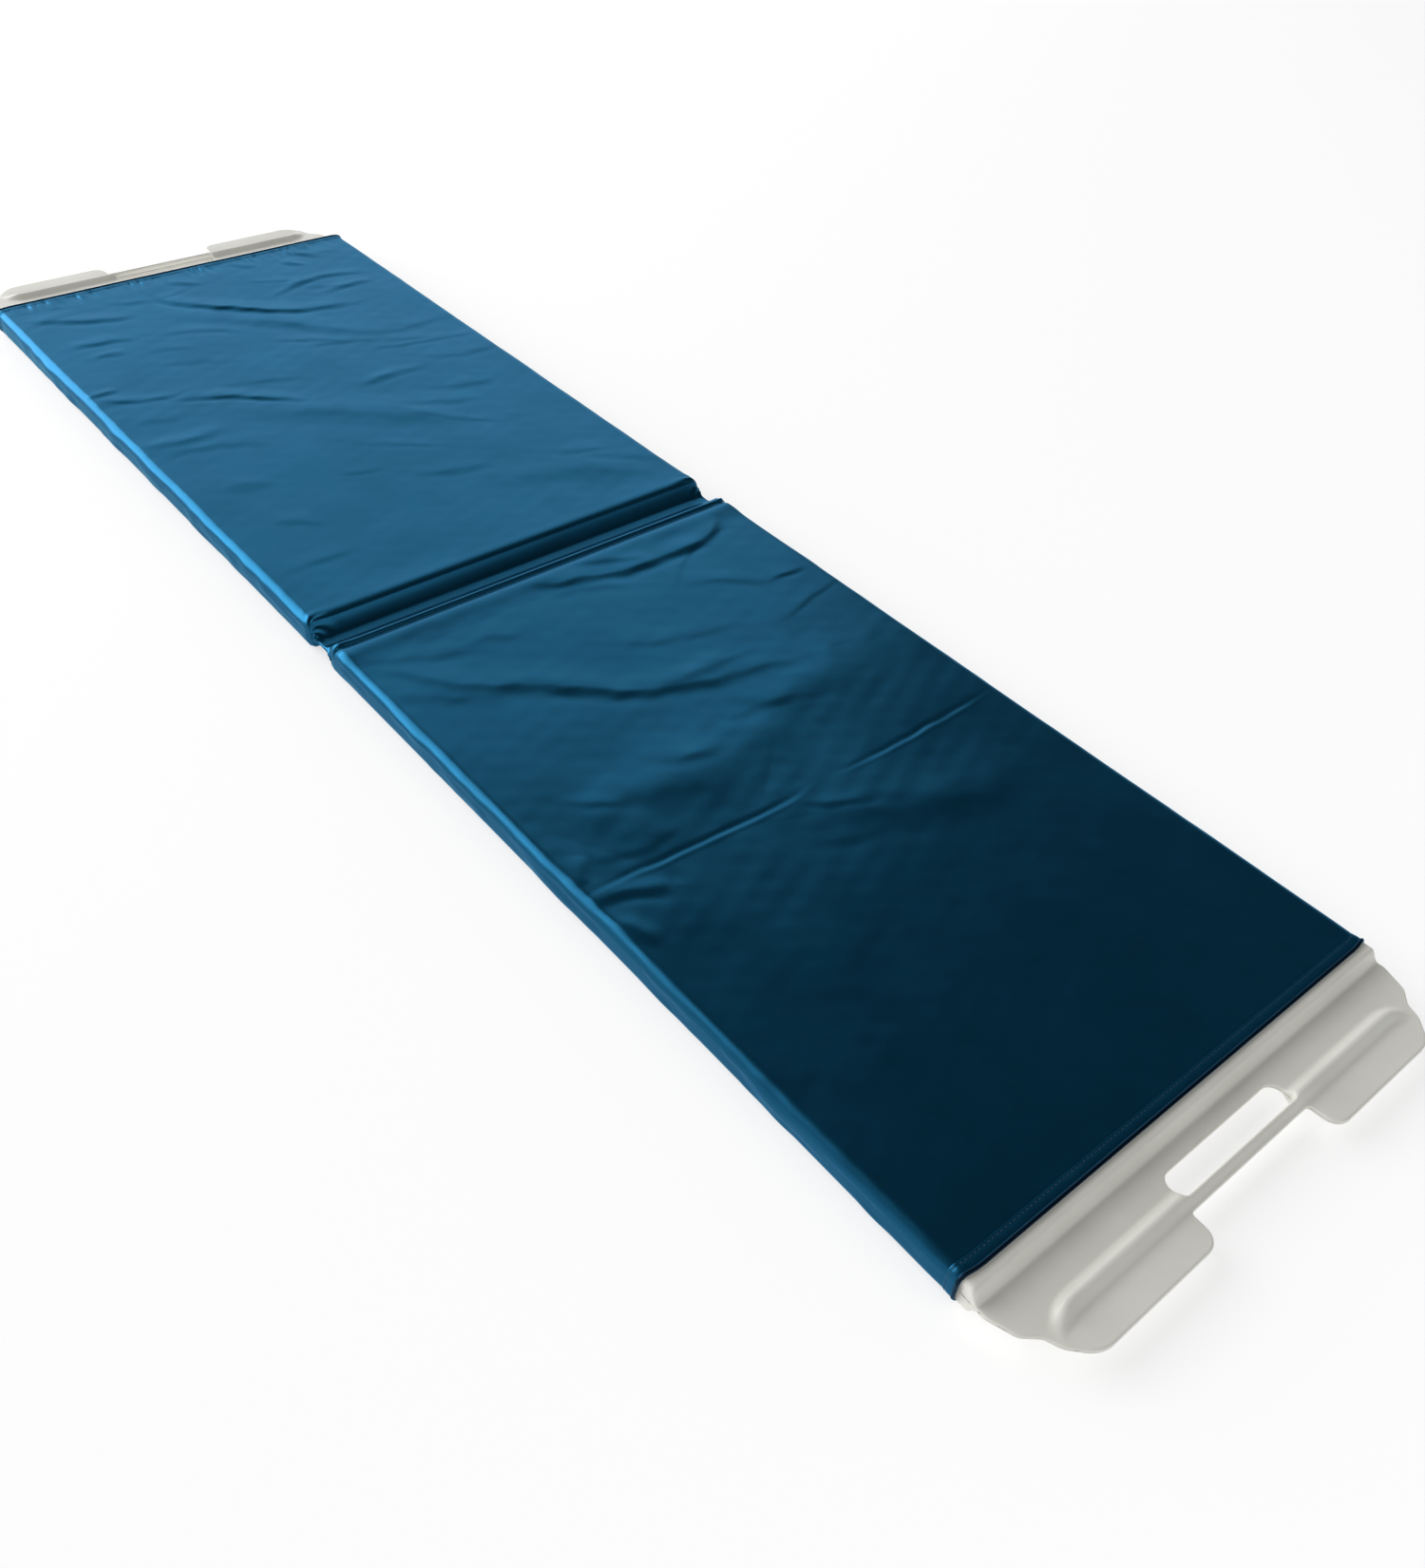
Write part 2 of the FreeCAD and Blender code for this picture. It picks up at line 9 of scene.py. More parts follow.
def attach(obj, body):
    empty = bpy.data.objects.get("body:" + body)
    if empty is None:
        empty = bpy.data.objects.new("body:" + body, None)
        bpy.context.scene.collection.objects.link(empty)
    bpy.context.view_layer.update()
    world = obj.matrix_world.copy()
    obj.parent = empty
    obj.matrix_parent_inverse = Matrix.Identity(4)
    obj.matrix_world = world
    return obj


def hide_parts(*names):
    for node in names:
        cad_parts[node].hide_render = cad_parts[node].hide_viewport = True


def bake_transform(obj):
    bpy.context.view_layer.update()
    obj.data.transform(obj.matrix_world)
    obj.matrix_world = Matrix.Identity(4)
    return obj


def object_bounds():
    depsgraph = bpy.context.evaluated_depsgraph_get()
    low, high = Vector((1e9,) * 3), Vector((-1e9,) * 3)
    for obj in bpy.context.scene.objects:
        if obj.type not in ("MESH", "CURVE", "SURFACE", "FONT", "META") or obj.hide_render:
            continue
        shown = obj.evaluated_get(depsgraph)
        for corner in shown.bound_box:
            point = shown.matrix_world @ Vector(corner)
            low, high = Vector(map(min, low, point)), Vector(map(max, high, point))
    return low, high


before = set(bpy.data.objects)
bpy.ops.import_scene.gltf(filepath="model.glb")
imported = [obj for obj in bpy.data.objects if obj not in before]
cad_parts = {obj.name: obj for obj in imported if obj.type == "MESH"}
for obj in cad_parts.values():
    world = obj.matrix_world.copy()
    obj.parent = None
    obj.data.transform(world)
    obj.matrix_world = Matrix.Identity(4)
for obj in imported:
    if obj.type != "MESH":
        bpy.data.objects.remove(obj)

cad_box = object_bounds()
MM = 0.001
SEED = 26

# A folding patient transfer board: a grip moulding at each end, and a satin sleeve round both panels.
# Sizes in millimetres. x runs across the board, y along it and z up. The fold is at y = 0.
HALF_WIDTH, HALF_LENGTH, THICKNESS = (round(float(size) / MM, 3) for size in cad_box[1])
MID_HEIGHT = THICKNESS / 2
HEM_END = 858.0
HEM_WIDTH = 12.0
CORNER = 9.0
FINE_STEP = 2.0
COARSE_STEP = 12.5

ENDS = {"foot": -1, "head": 1}
LEVELS = {"upper": 1, "lower": -1}


# ---------------------------------------------------------------- camera, floor and lights

LENS = 32.72
SENSOR = 36.0
CAMERA_PLACE = (-0.7193, -1.0752, 0.8874)
CAMERA_YAW = -43.385
CAMERA_PITCH = 47.703
CAMERA_ROLL = 5.194

# The room's two greys, and how far upwards a look has to go for each: 0 is level, 1 is straight up.
WALL_GREY = 0.80
WALL_TOP = 0.06
CEILING_GREY = 0.045
CEILING_START = 0.62


def add_camera():
    data = bpy.data.cameras.new("camera")
    data.lens = LENS
    data.sensor_width = SENSOR
    data.sensor_fit = "AUTO"
    data.clip_start = 0.01
    data.clip_end = 100.0
    camera = bpy.data.objects.new("camera", data)
    turn = Matrix.Rotation(math.radians(CAMERA_YAW), 4, "Z")
    turn = turn @ Matrix.Rotation(math.radians(CAMERA_PITCH), 4, "X")
    turn = turn @ Matrix.Rotation(math.radians(CAMERA_ROLL), 4, "Z")
    camera.matrix_world = Matrix.Translation(CAMERA_PLACE) @ turn
    bpy.context.scene.collection.objects.link(camera)
    bpy.context.scene.camera = camera


def aim(obj, place, target):
    obj.location = Vector(place)
    obj.rotation_mode = "QUATERNION"
    obj.rotation_quaternion = (Vector(target) - Vector(place)).to_track_quat("-Z", "Y")


def add_sun(name, place, strength, spread):
    data = bpy.data.lights.new(name, "SUN")
    data.energy = strength
    data.angle = math.radians(spread)
    lamp = bpy.data.objects.new(name, data)
    aim(lamp, place, (0, 0, 0))
    bpy.context.scene.collection.objects.link(lamp)


def add_softbox(name, place, target, size, power):
    data = bpy.data.lights.new(name, "AREA")
    data.shape = "RECTANGLE"
    data.size = size[0]
    data.size_y = size[1]
    data.energy = power
    lamp = bpy.data.objects.new(name, data)
    aim(lamp, place, target)
    bpy.context.scene.collection.objects.link(lamp)


def add_world():
    """A pale room: light walls near the horizon that fade to a dim ceiling."""
    world = bpy.data.worlds.new("studio")
    world.use_nodes = True
    nodes = world.node_tree.nodes
    links = world.node_tree.links
    where = nodes.new("ShaderNodeTexCoord")
    split = nodes.new("ShaderNodeSeparateXYZ")
    links.new(where.outputs["Generated"], split.inputs[0])
    greys = (grey(WALL_GREY), grey(CEILING_GREY))
    room = ramp_between(nodes, links, split.outputs["Z"], *greys, WALL_TOP, CEILING_START)
    links.new(room.outputs["Color"], nodes["Background"].inputs["Color"])
    nodes["Background"].inputs["Strength"].default_value = 1.0
    bpy.context.scene.world = world


def add_studio():
    """Soft light from the far left, where it runs along the satin, and a weak fill from the near side."""
    add_world()
    add_sun("key_light", place=(-0.44, 0.85, 0.44), strength=2.2, spread=56)
    add_softbox("side_softbox", place=(-1.5, 2.9, 1.0), target=(-0.25, 0.5, 0), size=(2.8, 2.0), power=40)
    add_softbox("far_softbox", place=(1.8, 4.1, 2.4), target=(0, 0, 0), size=(4.8, 3.6), power=63)
    add_softbox("fill_softbox", place=(-0.6, -3.4, 2.35), target=(0, 0, 0), size=(5.0, 2.8), power=54)
    view = bpy.context.scene.view_settings
    view.view_transform = "Standard"
    view.look = "None"


# ---------------------------------------------------------------- mesh helpers


def add_mesh(name, points, faces, material, smooth=True):
    """A mesh object from points in millimetres."""
    mesh = bpy.data.meshes.new(name)
    mesh.from_pydata((np.asarray(points) * MM).tolist(), [], [list(f) for f in faces])
    mesh.validate()
    mesh.polygons.foreach_set("use_smooth", [smooth] * len(mesh.polygons))
    mesh.materials.append(material)
    obj = bpy.data.objects.new(name, mesh)
    bpy.context.scene.collection.objects.link(obj)
    return obj


def grid_faces(rows, columns, flip):
    """Quads between the rows of a grid of points that closes round: the last column joins the first."""
    row = np.arange(rows - 1)[:, None]
    column = np.arange(columns)[None, :]
    following = (column + 1) % columns
    a = row * columns + column
    b = row * columns + following
    c = (row + 1) * columns + following
    d = (row + 1) * columns + column
    corners = (d, c, b, a) if flip else (a, b, c, d)
    return np.stack(corners, axis=-1).reshape(-1, 4)


def smoothstep(value, low, high):
    t = np.clip((value - low) / (high - low), 0.0, 1.0)
    return t * t * (3.0 - 2.0 * t)


def spline_points(control, count):
    """Points on a clamped cubic B-spline through the ends of the control points."""
    control = np.asarray(control, float)
    padded = np.vstack([control[:1], control[:1], control, control[-1:], control[-1:]])
    spans = len(padded) - 3
    found = []
    for t in np.linspace(0, spans, count):
        i = min(int(t), spans - 1)
        u = t - i
        first = (1 - u) ** 3
        second = 3 * u**3 - 6 * u**2 + 4
        third = -3 * u**3 + 3 * u**2 + 3 * u + 1
        weights = np.array([first, second, third, u**3]) / 6
        found.append(weights @ padded[i:i + 4])
    return np.array(found)


def soft_floor(height, softness=0.35):
    """The height where it is well above zero, and a gentle approach to zero below that."""
    return softness * np.logaddexp(0.0, height / softness)


def soft_noise(x, y, wave, seed, count=14):
    """Smooth waves with no pattern, from about -1 to 1. wave is the usual length of one wave.

    Each use takes SEED plus a number of its own, so that no two follow the same waves.
    """
    draw = np.random.default_rng(seed)
    total = np.zeros(np.broadcast(x, y).shape)
    for _ in range(count):
        angle = draw.uniform(0, math.tau)
        pitch = math.tau / (wave * draw.uniform(0.65, 1.6))
        phase = draw.uniform(0, math.tau)
        total = total + np.sin(pitch * (x * math.cos(angle) + y * math.sin(angle)) + phase)
    return total / math.sqrt(count) / 1.2


# ---------------------------------------------------------------- the cloth's wrinkles

# Each wrinkle: the points that its crest runs through from left to right, how wide it is on its
# near and far sides, its height, and how deep the dip at its foot is.
HEAD_WRINKLES = (
    (((-58, 806), (-60, 778), (-40, 752), (-5, 722), (32, 686), (76, 656), (116, 650), (152, 642)),
     5.8, 16.8, 2.38, 0.3),
    (((-68, 734), (-20, 690), (30, 652), (76, 606), (104, 572), (138, 550)), 12, 27.3, 1.39, 0.2),
    (((64, 716), (104, 730), (142, 740), (184, 738), (214, 722)), 5.2, 10.5, 1.48, 0.25),
    (((130, 690), (168, 698), (214, 696)), 5.8, 9.5, 1.15, 0.25),
    (((154, 838), (170, 820), (188, 800)), 5.8, 9.5, 1.31, 0.2),
    (((132, 812), (156, 784)), 5.8, 8.4, 1.07, 0.2),
    (((-234, 808), (-192, 784), (-156, 760), (-106, 752)), 5.8, 14.7, 1.64, 0.25),
    (((-214, 702), (-192, 706), (-164, 700), (-134, 694)), 5.8, 11.6, 1.39, 0.25),
    (((-200, 666), (-176, 665), (-158, 660)), 5.8, 9.5, 0.98, 0.2),
    (((-30, 828), (-12, 810), (10, 800)), 5.8, 9.5, 1.31, 0.2),
    (((66, 844), (84, 824), (96, 812)), 5.8, 8.4, 1.15, 0.2),
    (((-249, 574), (-228, 568), (-207, 575)), 4.9, 8.4, 1.31, 0.3),
    (((-164, 518), (-136, 504), (-92, 484), (-67, 458), (-25, 428)), 5.2, 13.7, 1.48, 0.35),
    (((-122, 468), (-65, 425), (4, 374), (76, 325), (137, 281)), 19, 31.5, 1.72, 0.15),
    (((34, 431), (68, 433), (101, 436), (140, 435)), 5.8, 10.5, 0.98, 0.25),
    (((-250, 433), (-210, 420), (-176, 416), (-136, 422)), 8.7, 13.7, 1.31, 0.2),
    (((-205, 303), (-177, 290), (-151, 283)), 10, 13.7, 0.74, 0.2),
    (((47, 160), (104, 136), (161, 113), (204, 78), (235, 50)), 15, 27.3, 0.9, 0.15),
)
FOOT_WRINKLES = (
    (((-34, -40), (-27, -48), (-11, -59), (17, -64), (47, -71), (68, -81), (90, -79), (127, -80), (167, -82),
      (192, -73), (219, -48)), 6.5, 20, 2.0, 0.2),
    (((-236, -60), (-203, -106), (-185, -138), (-131, -174), (-82, -219), (-44, -250), (-2, -267), (42, -277),
      (81, -284), (117, -296), (149, -302)), 9.0, 24, 1.45, 0.15),
    (((-243, -436), (-221, -435), (-193, -437), (-166, -440), (-105, -443), (-45, -449), (-6, -444)),
     2.4, 3.4, -0.75, 0.4),
    (((34, -446), (50, -448), (124, -449), (199, -447), (236, -444)), 2.4, 3.4, -0.65, 0.4),
    (((-206, -402), (-150, -372), (-103, -361), (-72, -362), (-45, -372), (-14, -409)), 44.0, 40, 3.0, 0.0),
    (((-20, -392), (30, -352), (75, -338), (120, -330), (170, -322)), 30.0, 40, 1.3, 0.0),
    (((-248, -444), (-232, -444), (-212, -448), (-181, -469)), 6.0, 10, 1.3, 0.3),
    (((-246, -461), (-236, -486), (-220, -512)), 7.0, 10, 1.0, 0.3),
    (((-238, -425), (-232, -408), (-223, -392)), 5.5, 9, 1.1, 0.3),
    (((-20, -476), (10, -489), (48, -512), (85, -530), (122, -538), (161, -535), (196, -520)),
     18.0, 34, 1.7, 0.1),
    (((-244, -110), (-190, -160), (-120, -190)), 9.0, 17, 0.6, 0.2),
)

# The dip at a wrinkle's foot: how far off the crest it lies and how wide it is, in near widths.
DIP_PLACE = 1.9
DIP_WIDTH = 0.9
# How far a crest wavers: a share of the near width, up to a limit. How its height fades at its ends.
WAVER_SHARE = 0.25
WAVER_LIMIT = 1.1
FADE_POWER = 0.8

# For each end, the number of faint wrinkles and the range of y that they lie in, from sparse to dense.
FAINT = {-1: (16, -520, -50), 1: (34, 60, 835)}
FAINT_CROWDING = 1.3
FAINT_ACROSS = (-225, 225)
FAINT_LENGTH = (45, 150)
FAINT_SLOPE = (-0.30, 0.30)
FAINT_BOW = 0.10
FAINT_WIDTH = (3.5, 8.0)
FAINT_FAR_SHARE = 2.3
FAINT_HEIGHT = (0.25, 0.65)
FAINT_DIP = 0.3

# The whole upper cloth's slow waves: height, squeeze across, squeeze along, usual length of a wave.
SLACK = 0.45
SWELLS = ((0.45, 1.0, 1.0, 230), (0.24, 0.8, 1.0, 90), (0.07, 1.0, 1.3, 36))
WAVER_LENGTH = 30
STRENGTH_SPREAD = 0.22
STRENGTH_LENGTH = 60


def line_place(x, y, line):
    """For each point, its signed distance from the line and how far along the line it lies."""
    line = np.asarray(line, float)
    starts = line[:-1]
    runs = line[1:] - starts
    lengths = np.hypot(runs[:, 0], runs[:, 1])
    before = np.concatenate([[0], np.cumsum(lengths)[:-1]])
    best = np.full(x.shape, np.inf)
    side = np.zeros(x.shape)
    along = np.zeros(x.shape)
    for start, run, length, done in zip(starts, runs, lengths, before):
        dx = x - start[0]
        dy = y - start[1]
        share = np.clip((dx * run[0] + dy * run[1]) / length**2, 0, 1)
        away = np.hypot(dx - share * run[0], dy - share * run[1])
        nearer = away < best
        best = np.where(nearer, away, best)
        side = np.where(nearer, np.sign(run[1] * dx - run[0] * dy), side)
        along = np.where(nearer, (done + share * length) / lengths.sum(), along)
    return best * side, along


def wrinkle_height(x, y, waver, line, near, far, height, dip):
    """A fold in the cloth: steep on its near side, gentle on its far side, with a dip at its foot."""
    curve = spline_points(line, 6 * len(line))
    low = curve.min(axis=0) - 3 * far
    high = curve.max(axis=0) + 3 * far
    close = (x > low[0]) & (x < high[0]) & (y > low[1]) & (y < high[1])
    result = np.zeros(x.shape)
    distance, along = line_place(x[close], y[close], curve)
    distance = distance + min(WAVER_SHARE * near, WAVER_LIMIT) * waver[close]
    fade = np.sin(np.pi * np.clip(along, 0.02, 0.98)) ** FADE_POWER
    fold = np.exp(-np.where(distance > 0, distance / near, distance / far) ** 2)
    foot = np.exp(-(((distance - DIP_PLACE * near) / (DIP_WIDTH * near)) ** 2))
    result[close] = fade * height * (fold - dip * foot)
    return result


def faint_wrinkles(end):
    """Low, short folds scattered between the main ones, closest together towards the far edge."""
    draw = np.random.default_rng(SEED + 20 + end)
    count, first, last = FAINT[end]
    found = []
    for _ in range(count):
        x = draw.uniform(*FAINT_ACROSS)
        y = last - (last - first) * draw.uniform(0, 1) ** FAINT_CROWDING
        length = draw.uniform(*FAINT_LENGTH)
        slope = draw.normal(*FAINT_SLOPE)
        bow = draw.normal(0, FAINT_BOW) * length
        places = []
        for share in (-0.5, -0.2, 0.2, 0.5):
            places.append((x + share * length, y + slope * share * length + bow * (0.25 - share**2) * 4))
        width = draw.uniform(*FAINT_WIDTH)
        height = draw.uniform(*FAINT_HEIGHT)
        found.append((tuple(places), width, FAINT_FAR_SHARE * width, height, FAINT_DIP))
    return found


def top_height(x, y, end):
    """How far the upper cloth stands off its flat height."""
    height = SLACK
    for number, (rise, squeeze_x, squeeze_y, wave) in enumerate(SWELLS):
        height = height + rise * soft_noise(x * squeeze_x, y * squeeze_y, wave, SEED + number)
    waver = soft_noise(x, y, WAVER_LENGTH, SEED + 3)
    strength = 1 + STRENGTH_SPREAD * soft_noise(x, y, STRENGTH_LENGTH, SEED + 4)
    main = HEAD_WRINKLES if end > 0 else FOOT_WRINKLES
    for wrinkle in (*main, *faint_wrinkles(end)):
        height = height + strength * wrinkle_height(x, y, waver, *wrinkle)
    return height


# ---------------------------------------------------------------- the sleeve

# The way that the cloth takes from the middle of the fold up on to a panel, as (y, upper z, lower z).
HEAD_EDGE = (
    (0, 17.3, 13.7), (4, 17.3, 13.7), (7, 17.4, 13.7), (10, 18.2, 13.6), (13, 20.4, 13.2), (16, 23.0, 12.2),
    (19, 26.0, 10), (20.8, 28.4, 6), (21.8, 30.2, 2), (23.8, 31.6, 0.3), (27.5, 32.7, 0.1), (32, 32.9, 0.1),
    (38, 32.2, 0.1), (47, 31.5, 0.1), (58, 31.1, 0.1), (70, 31.0, 0.1),
)
FOOT_EDGE = (
    (0, 17.3, 13.7), (4, 17.4, 13.7), (7, 18.9, 12.6), (10, 19.2, 12.2), (13, 18.9, 12.6), (15.6, 17.2, 13.4),
    (18.6, 18.2, 12.6), (20.4, 21, 10), (20.5, 25, 6), (20.3, 28.8, 1.8), (22.0, 30.9, 0.6),
    (24.6, 32.2, 0.2), (27.4, 32.8, 0.1), (29.0, 31.0, 0.1), (30.2, 29.6, 0.1), (32.4, 30.6, 0.1),
    (37, 32.5, 0.1), (44, 32.8, 0.1), (53, 31.8, 0.1), (62, 31.2, 0.1), (70, 31.0, 0.1),
)
EDGE_END = 70.0
EDGE_ROWS = 76
HEM_ROWS = (
    # y past the hem's end (inward is negative), drop of the cloth below its outer face
    (-HEM_WIDTH - 1.2, 0.0), (-HEM_WIDTH - 0.4, 0.03), (-HEM_WIDTH, 0.12), (-HEM_WIDTH + 0.6, 0.0),
    (-HEM_WIDTH + 1.4, -0.18), (-HEM_WIDTH + 2.6, -0.10), (-HEM_WIDTH + 3.8, -0.34), (-7.0, -0.50),
    (-4.5, -0.60), (-3.2, -0.55), (-2.8, -0.40), (-2.6, -0.65), (-2.0, -1.20), (-1.0, -1.45), (0.1, -1.2),
    (0.8, -0.5), (0.6, 0.3), (-0.4, 0.55), (-2.0, 0.55), (-5.0, 0.55), (-HEM_WIDTH + 2.0, 0.55),
)
# the bands of faces between those rows that are the rolled edge, coloured near black as painted shade for the
# dark line along the hem, and the row that is stitched
ROLLED_SHADE_BANDS = (11, 18)
STITCH_ROW = 5

# the rigid panel inside: where it starts, its rounded edge, and the height that the cloth rests on
PANEL_START = 22.8
PANEL_CORNER = 4.0
PANEL_TOP = 30.1
# the height of the cloth underneath, and the lowest that any of it may hang
UNDERSIDE = 0.1
LOWEST = 0.05

# how freely the cloth wrinkles: from not at all to fully over LOOSENING, then less from CALM_FROM on to
# the hem, and less near the rim of the board
LOOSENING = (27.0, 52.0)
CALM_FROM = 815.0
HEM_LOOSENESS = 0.25
RIM_WIDTH = 10.0
RIM_LOOSENESS = 0.35

# the ring round the board: the steps of a corner's arc, the points down a side, and the largest corner
# as a share of half the height there
ARC_STEPS = 10
SIDE_POINTS = 11
CORNER_SHARE = 0.9
# how much narrower each side is in the fold, and where that ends
FOLD_NARROWING = 3.2
NARROWING = (8.0, 30.0)
# the narrow sides: height and length of the cloth's waves there, and the furthest that it lies inward
BULGES = ((0.9, 120), (0.4, 38))
BULGE_INWARD = -0.2

# the two stitched grooves of the felled seam along the underside, and the slack there
SEAM_LINES = (86.0, 94.0)
SEAM_STEP = 1.3
SEAM_WIDTH = 0.7
SEAM_DEPTH = 0.35
UNDER_SLACK = 0.5
UNDER_WAVE = 110

# gathers where the hem's elastic draws the cloth in, stronger at the head
GATHER_HEIGHT = {-1: 0.15, 1: 1.6}
GATHER_LENGTH = 17.0
GATHER_WAVE = 15
GATHER_PATCH = 85

# how far the elastic pulls the hem in at the sides, and its corners back towards the fold
HEM_PULL_IN = 0.9
HEM_PULL_BACK = 2.4
PULL_LENGTH = 34.0
PULL_WIDTH = 28.0

# crumpled pleats that fan out at the two ends of the fold
PLEAT_CENTRE = 17.0
PLEAT_REACH = 17.0
PLEAT_LIFT = 0.7
PLEAT_PUSH = 0.8
LIFT_FOLDS = 9
PUSH_FOLDS = 7

# the hem's stitches: a thread that rises out of the cloth and is thinner at its tips
STITCH_PITCH = 4.4
STITCH_LENGTH = 3.1
STITCH_RADIUS = 0.30
STITCH_RISE = 0.32
STITCH_SINK = 0.12
STITCH_TIP = 0.2
STITCH_SIDES = 6
STITCH_RINGS = 6


def sleeve_rows(end):
    """Every row of the sleeve half, as (y, upper z, lower z, inset, how much it may wrinkle)."""
    rows = []
    edge = spline_points(HEAD_EDGE if end > 0 else FOOT_EDGE, EDGE_ROWS)
    for y, upper, lower in edge:
        rows.append((y, upper, lower, 0.0, smoothstep(y, *LOOSENING)))
    hem_start = HEM_END + HEM_ROWS[0][0]
    count = int((hem_start - EDGE_END) / FINE_STEP)
    for y in np.linspace(EDGE_END, hem_start, count)[1:-1]:
        loose = 1.0 - (1.0 - HEM_LOOSENESS) * smoothstep(y, CALM_FROM, hem_start)
        rows.append((y, THICKNESS, UNDERSIDE, 0.0, loose))
    for past, drop in HEM_ROWS:
        rows.append((HEM_END + past, THICKNESS - drop, UNDERSIDE + max(drop, 0), drop, HEM_LOOSENESS))
    return rows


def ring_places():
    """The places round one ring of the sleeve, each as (flat x, level, outward x, outward z).

    Flat x is the place across the board, up to where a corner's arc starts. Level is 1 on the top, -1
    below and between them on the sides. Outward is the direction away from the board.
    """
    flat = HALF_WIDTH - CORNER
    across = np.linspace(-flat, flat, int(2 * flat / FINE_STEP) + 1)
    seam = [place + step for place in SEAM_LINES for step in (-SEAM_STEP, 0.0, SEAM_STEP)]
    coarse = np.sort(np.append(np.linspace(-flat, flat, int(2 * flat / COARSE_STEP) + 1), seam))[::-1]
    arc = np.radians(np.linspace(90, 0, ARC_STEPS)[1:-1])
    wall = np.linspace(1, -1, SIDE_POINTS)
    ring = [(x, 1.0, 0.0, 1.0) for x in across]
    ring += [(flat, 1.0, math.cos(a), math.sin(a)) for a in arc]
    ring += [(flat, w, 1.0, 0.0) for w in wall]
    ring += [(flat, -1.0, math.cos(a), -math.sin(a)) for a in arc[::-1]]
    ring += [(x, -1.0, 0.0, -1.0) for x in coarse]
    ring += [(-flat, -1.0, -math.cos(a), -math.sin(a)) for a in arc]
    ring += [(-flat, w, -1.0, 0.0) for w in wall[::-1]]
    ring += [(-flat, 1.0, -math.cos(a), math.sin(a)) for a in arc[::-1]]
    return np.array(ring)


def base_tube(rows, ring):
    """The sleeve before it wrinkles: x, y and z of its points, by row and by place round the ring."""
    y = rows[:, 0][:, None] * np.ones(len(ring))[None, :]
    upper, lower, inset = (rows[:, i][:, None] for i in (1, 2, 3))
    flat_x, level, out_x, out_z = (ring[:, i][None, :] for i in range(4))
    middle = (upper + lower) / 2
    half = (upper - lower) / 2
    corner = np.minimum(CORNER, half * CORNER_SHARE)
    narrow = FOLD_NARROWING * (1 - smoothstep(y, *NARROWING))
    spread = flat_x / (HALF_WIDTH - CORNER)
    x = spread * (HALF_WIDTH - corner - narrow - inset) + out_x * corner
    z = middle + level * (half - corner) + out_z * corner
    return x, y, z


def top_lift(x, y, end):
    """How far the upper cloth is lifted: its wrinkles, lower along the rim where the cloth is tight."""
    rim = smoothstep(HALF_WIDTH - np.abs(x), 0.0, RIM_WIDTH)
    return (RIM_LOOSENESS + (1 - RIM_LOOSENESS) * rim) * top_height(x, y, end)


def underside_lift(x, y):
    """How far the lower cloth is lifted: its slack and the two grooves of the seam."""
    lift = UNDER_SLACK * np.clip(0.5 + 0.5 * soft_noise(x, y, UNDER_WAVE, SEED + 5), 0, 1)
    for line in SEAM_LINES:
        lift = lift + SEAM_DEPTH * np.exp(-(((x - line) / SEAM_WIDTH) ** 2))
    return lift


def side_bulge(y, z):
    """How far the cloth stands out from the board's narrow sides."""
    bulge = 0.0
    for number, (height, wave) in enumerate(BULGES):
        bulge = bulge + height * soft_noise(y, z * 3, wave, SEED + 6 + number)
    return np.maximum(bulge, BULGE_INWARD)


def gather_lift(x, y, end):
    """Small uneven gathers next to the hem, in patches."""
    from_hem = HEM_END - y
    fade = np.exp(-(np.clip(from_hem - HEM_WIDTH, 0, None) / GATHER_LENGTH) ** 2)
    fade = fade * smoothstep(from_hem, 2.0, HEM_WIDTH)
    patches = np.clip(0.55 + 0.6 * soft_noise(x, 0 * y, GATHER_PATCH, SEED + 9), 0.05, 1.2)
    teeth = soft_noise(x, 0.30 * y, GATHER_WAVE, SEED + 8)
    return GATHER_HEIGHT[end] * fade * patches * teeth


def hem_pull(x, y):
    """How far the hem is pulled in at the sides, and how far back at its corners."""
    near_corner = smoothstep(np.abs(x), HALF_WIDTH - PULL_WIDTH, HALF_WIDTH)
    near_hem = smoothstep(y, HEM_END - PULL_LENGTH, HEM_END)
    return HEM_PULL_IN * near_hem, HEM_PULL_BACK * near_corner**2 * near_hem


def fold_end_pleats(x, y, side):
    """How far the pleats at the two ends of the fold lift the cloth, and how far they push it outward."""
    from_side = HALF_WIDTH - np.abs(x)
    reach = np.hypot(from_side * 0.8, y - PLEAT_CENTRE)
    weight = np.exp(-((reach / PLEAT_REACH) ** 2)) * smoothstep(y, 2.0, 10.0)
    turn = np.arctan2(y - PLEAT_CENTRE, from_side + 1e-6)
    lift = PLEAT_LIFT * weight * (1 + np.sin(LIFT_FOLDS * turn + 0.35 * reach + side))
    push = PLEAT_PUSH * weight * (1 + np.sin(PUSH_FOLDS * turn + 1.3))
    return lift, push


def keep_clear(y, z, out_z):
    """The cloth's height, kept from sinking into the panel's rounded fold edge, its top or the floor."""
    drop = np.clip(PANEL_START + PANEL_CORNER - y, 0, PANEL_CORNER)
    panel = PANEL_TOP - PANEL_CORNER + np.sqrt(PANEL_CORNER**2 - drop**2)
    over_panel = (out_z > 0.99) & (y > PANEL_START)
    return np.maximum(np.where(over_panel, panel + soft_floor(z - panel), z), LOWEST)


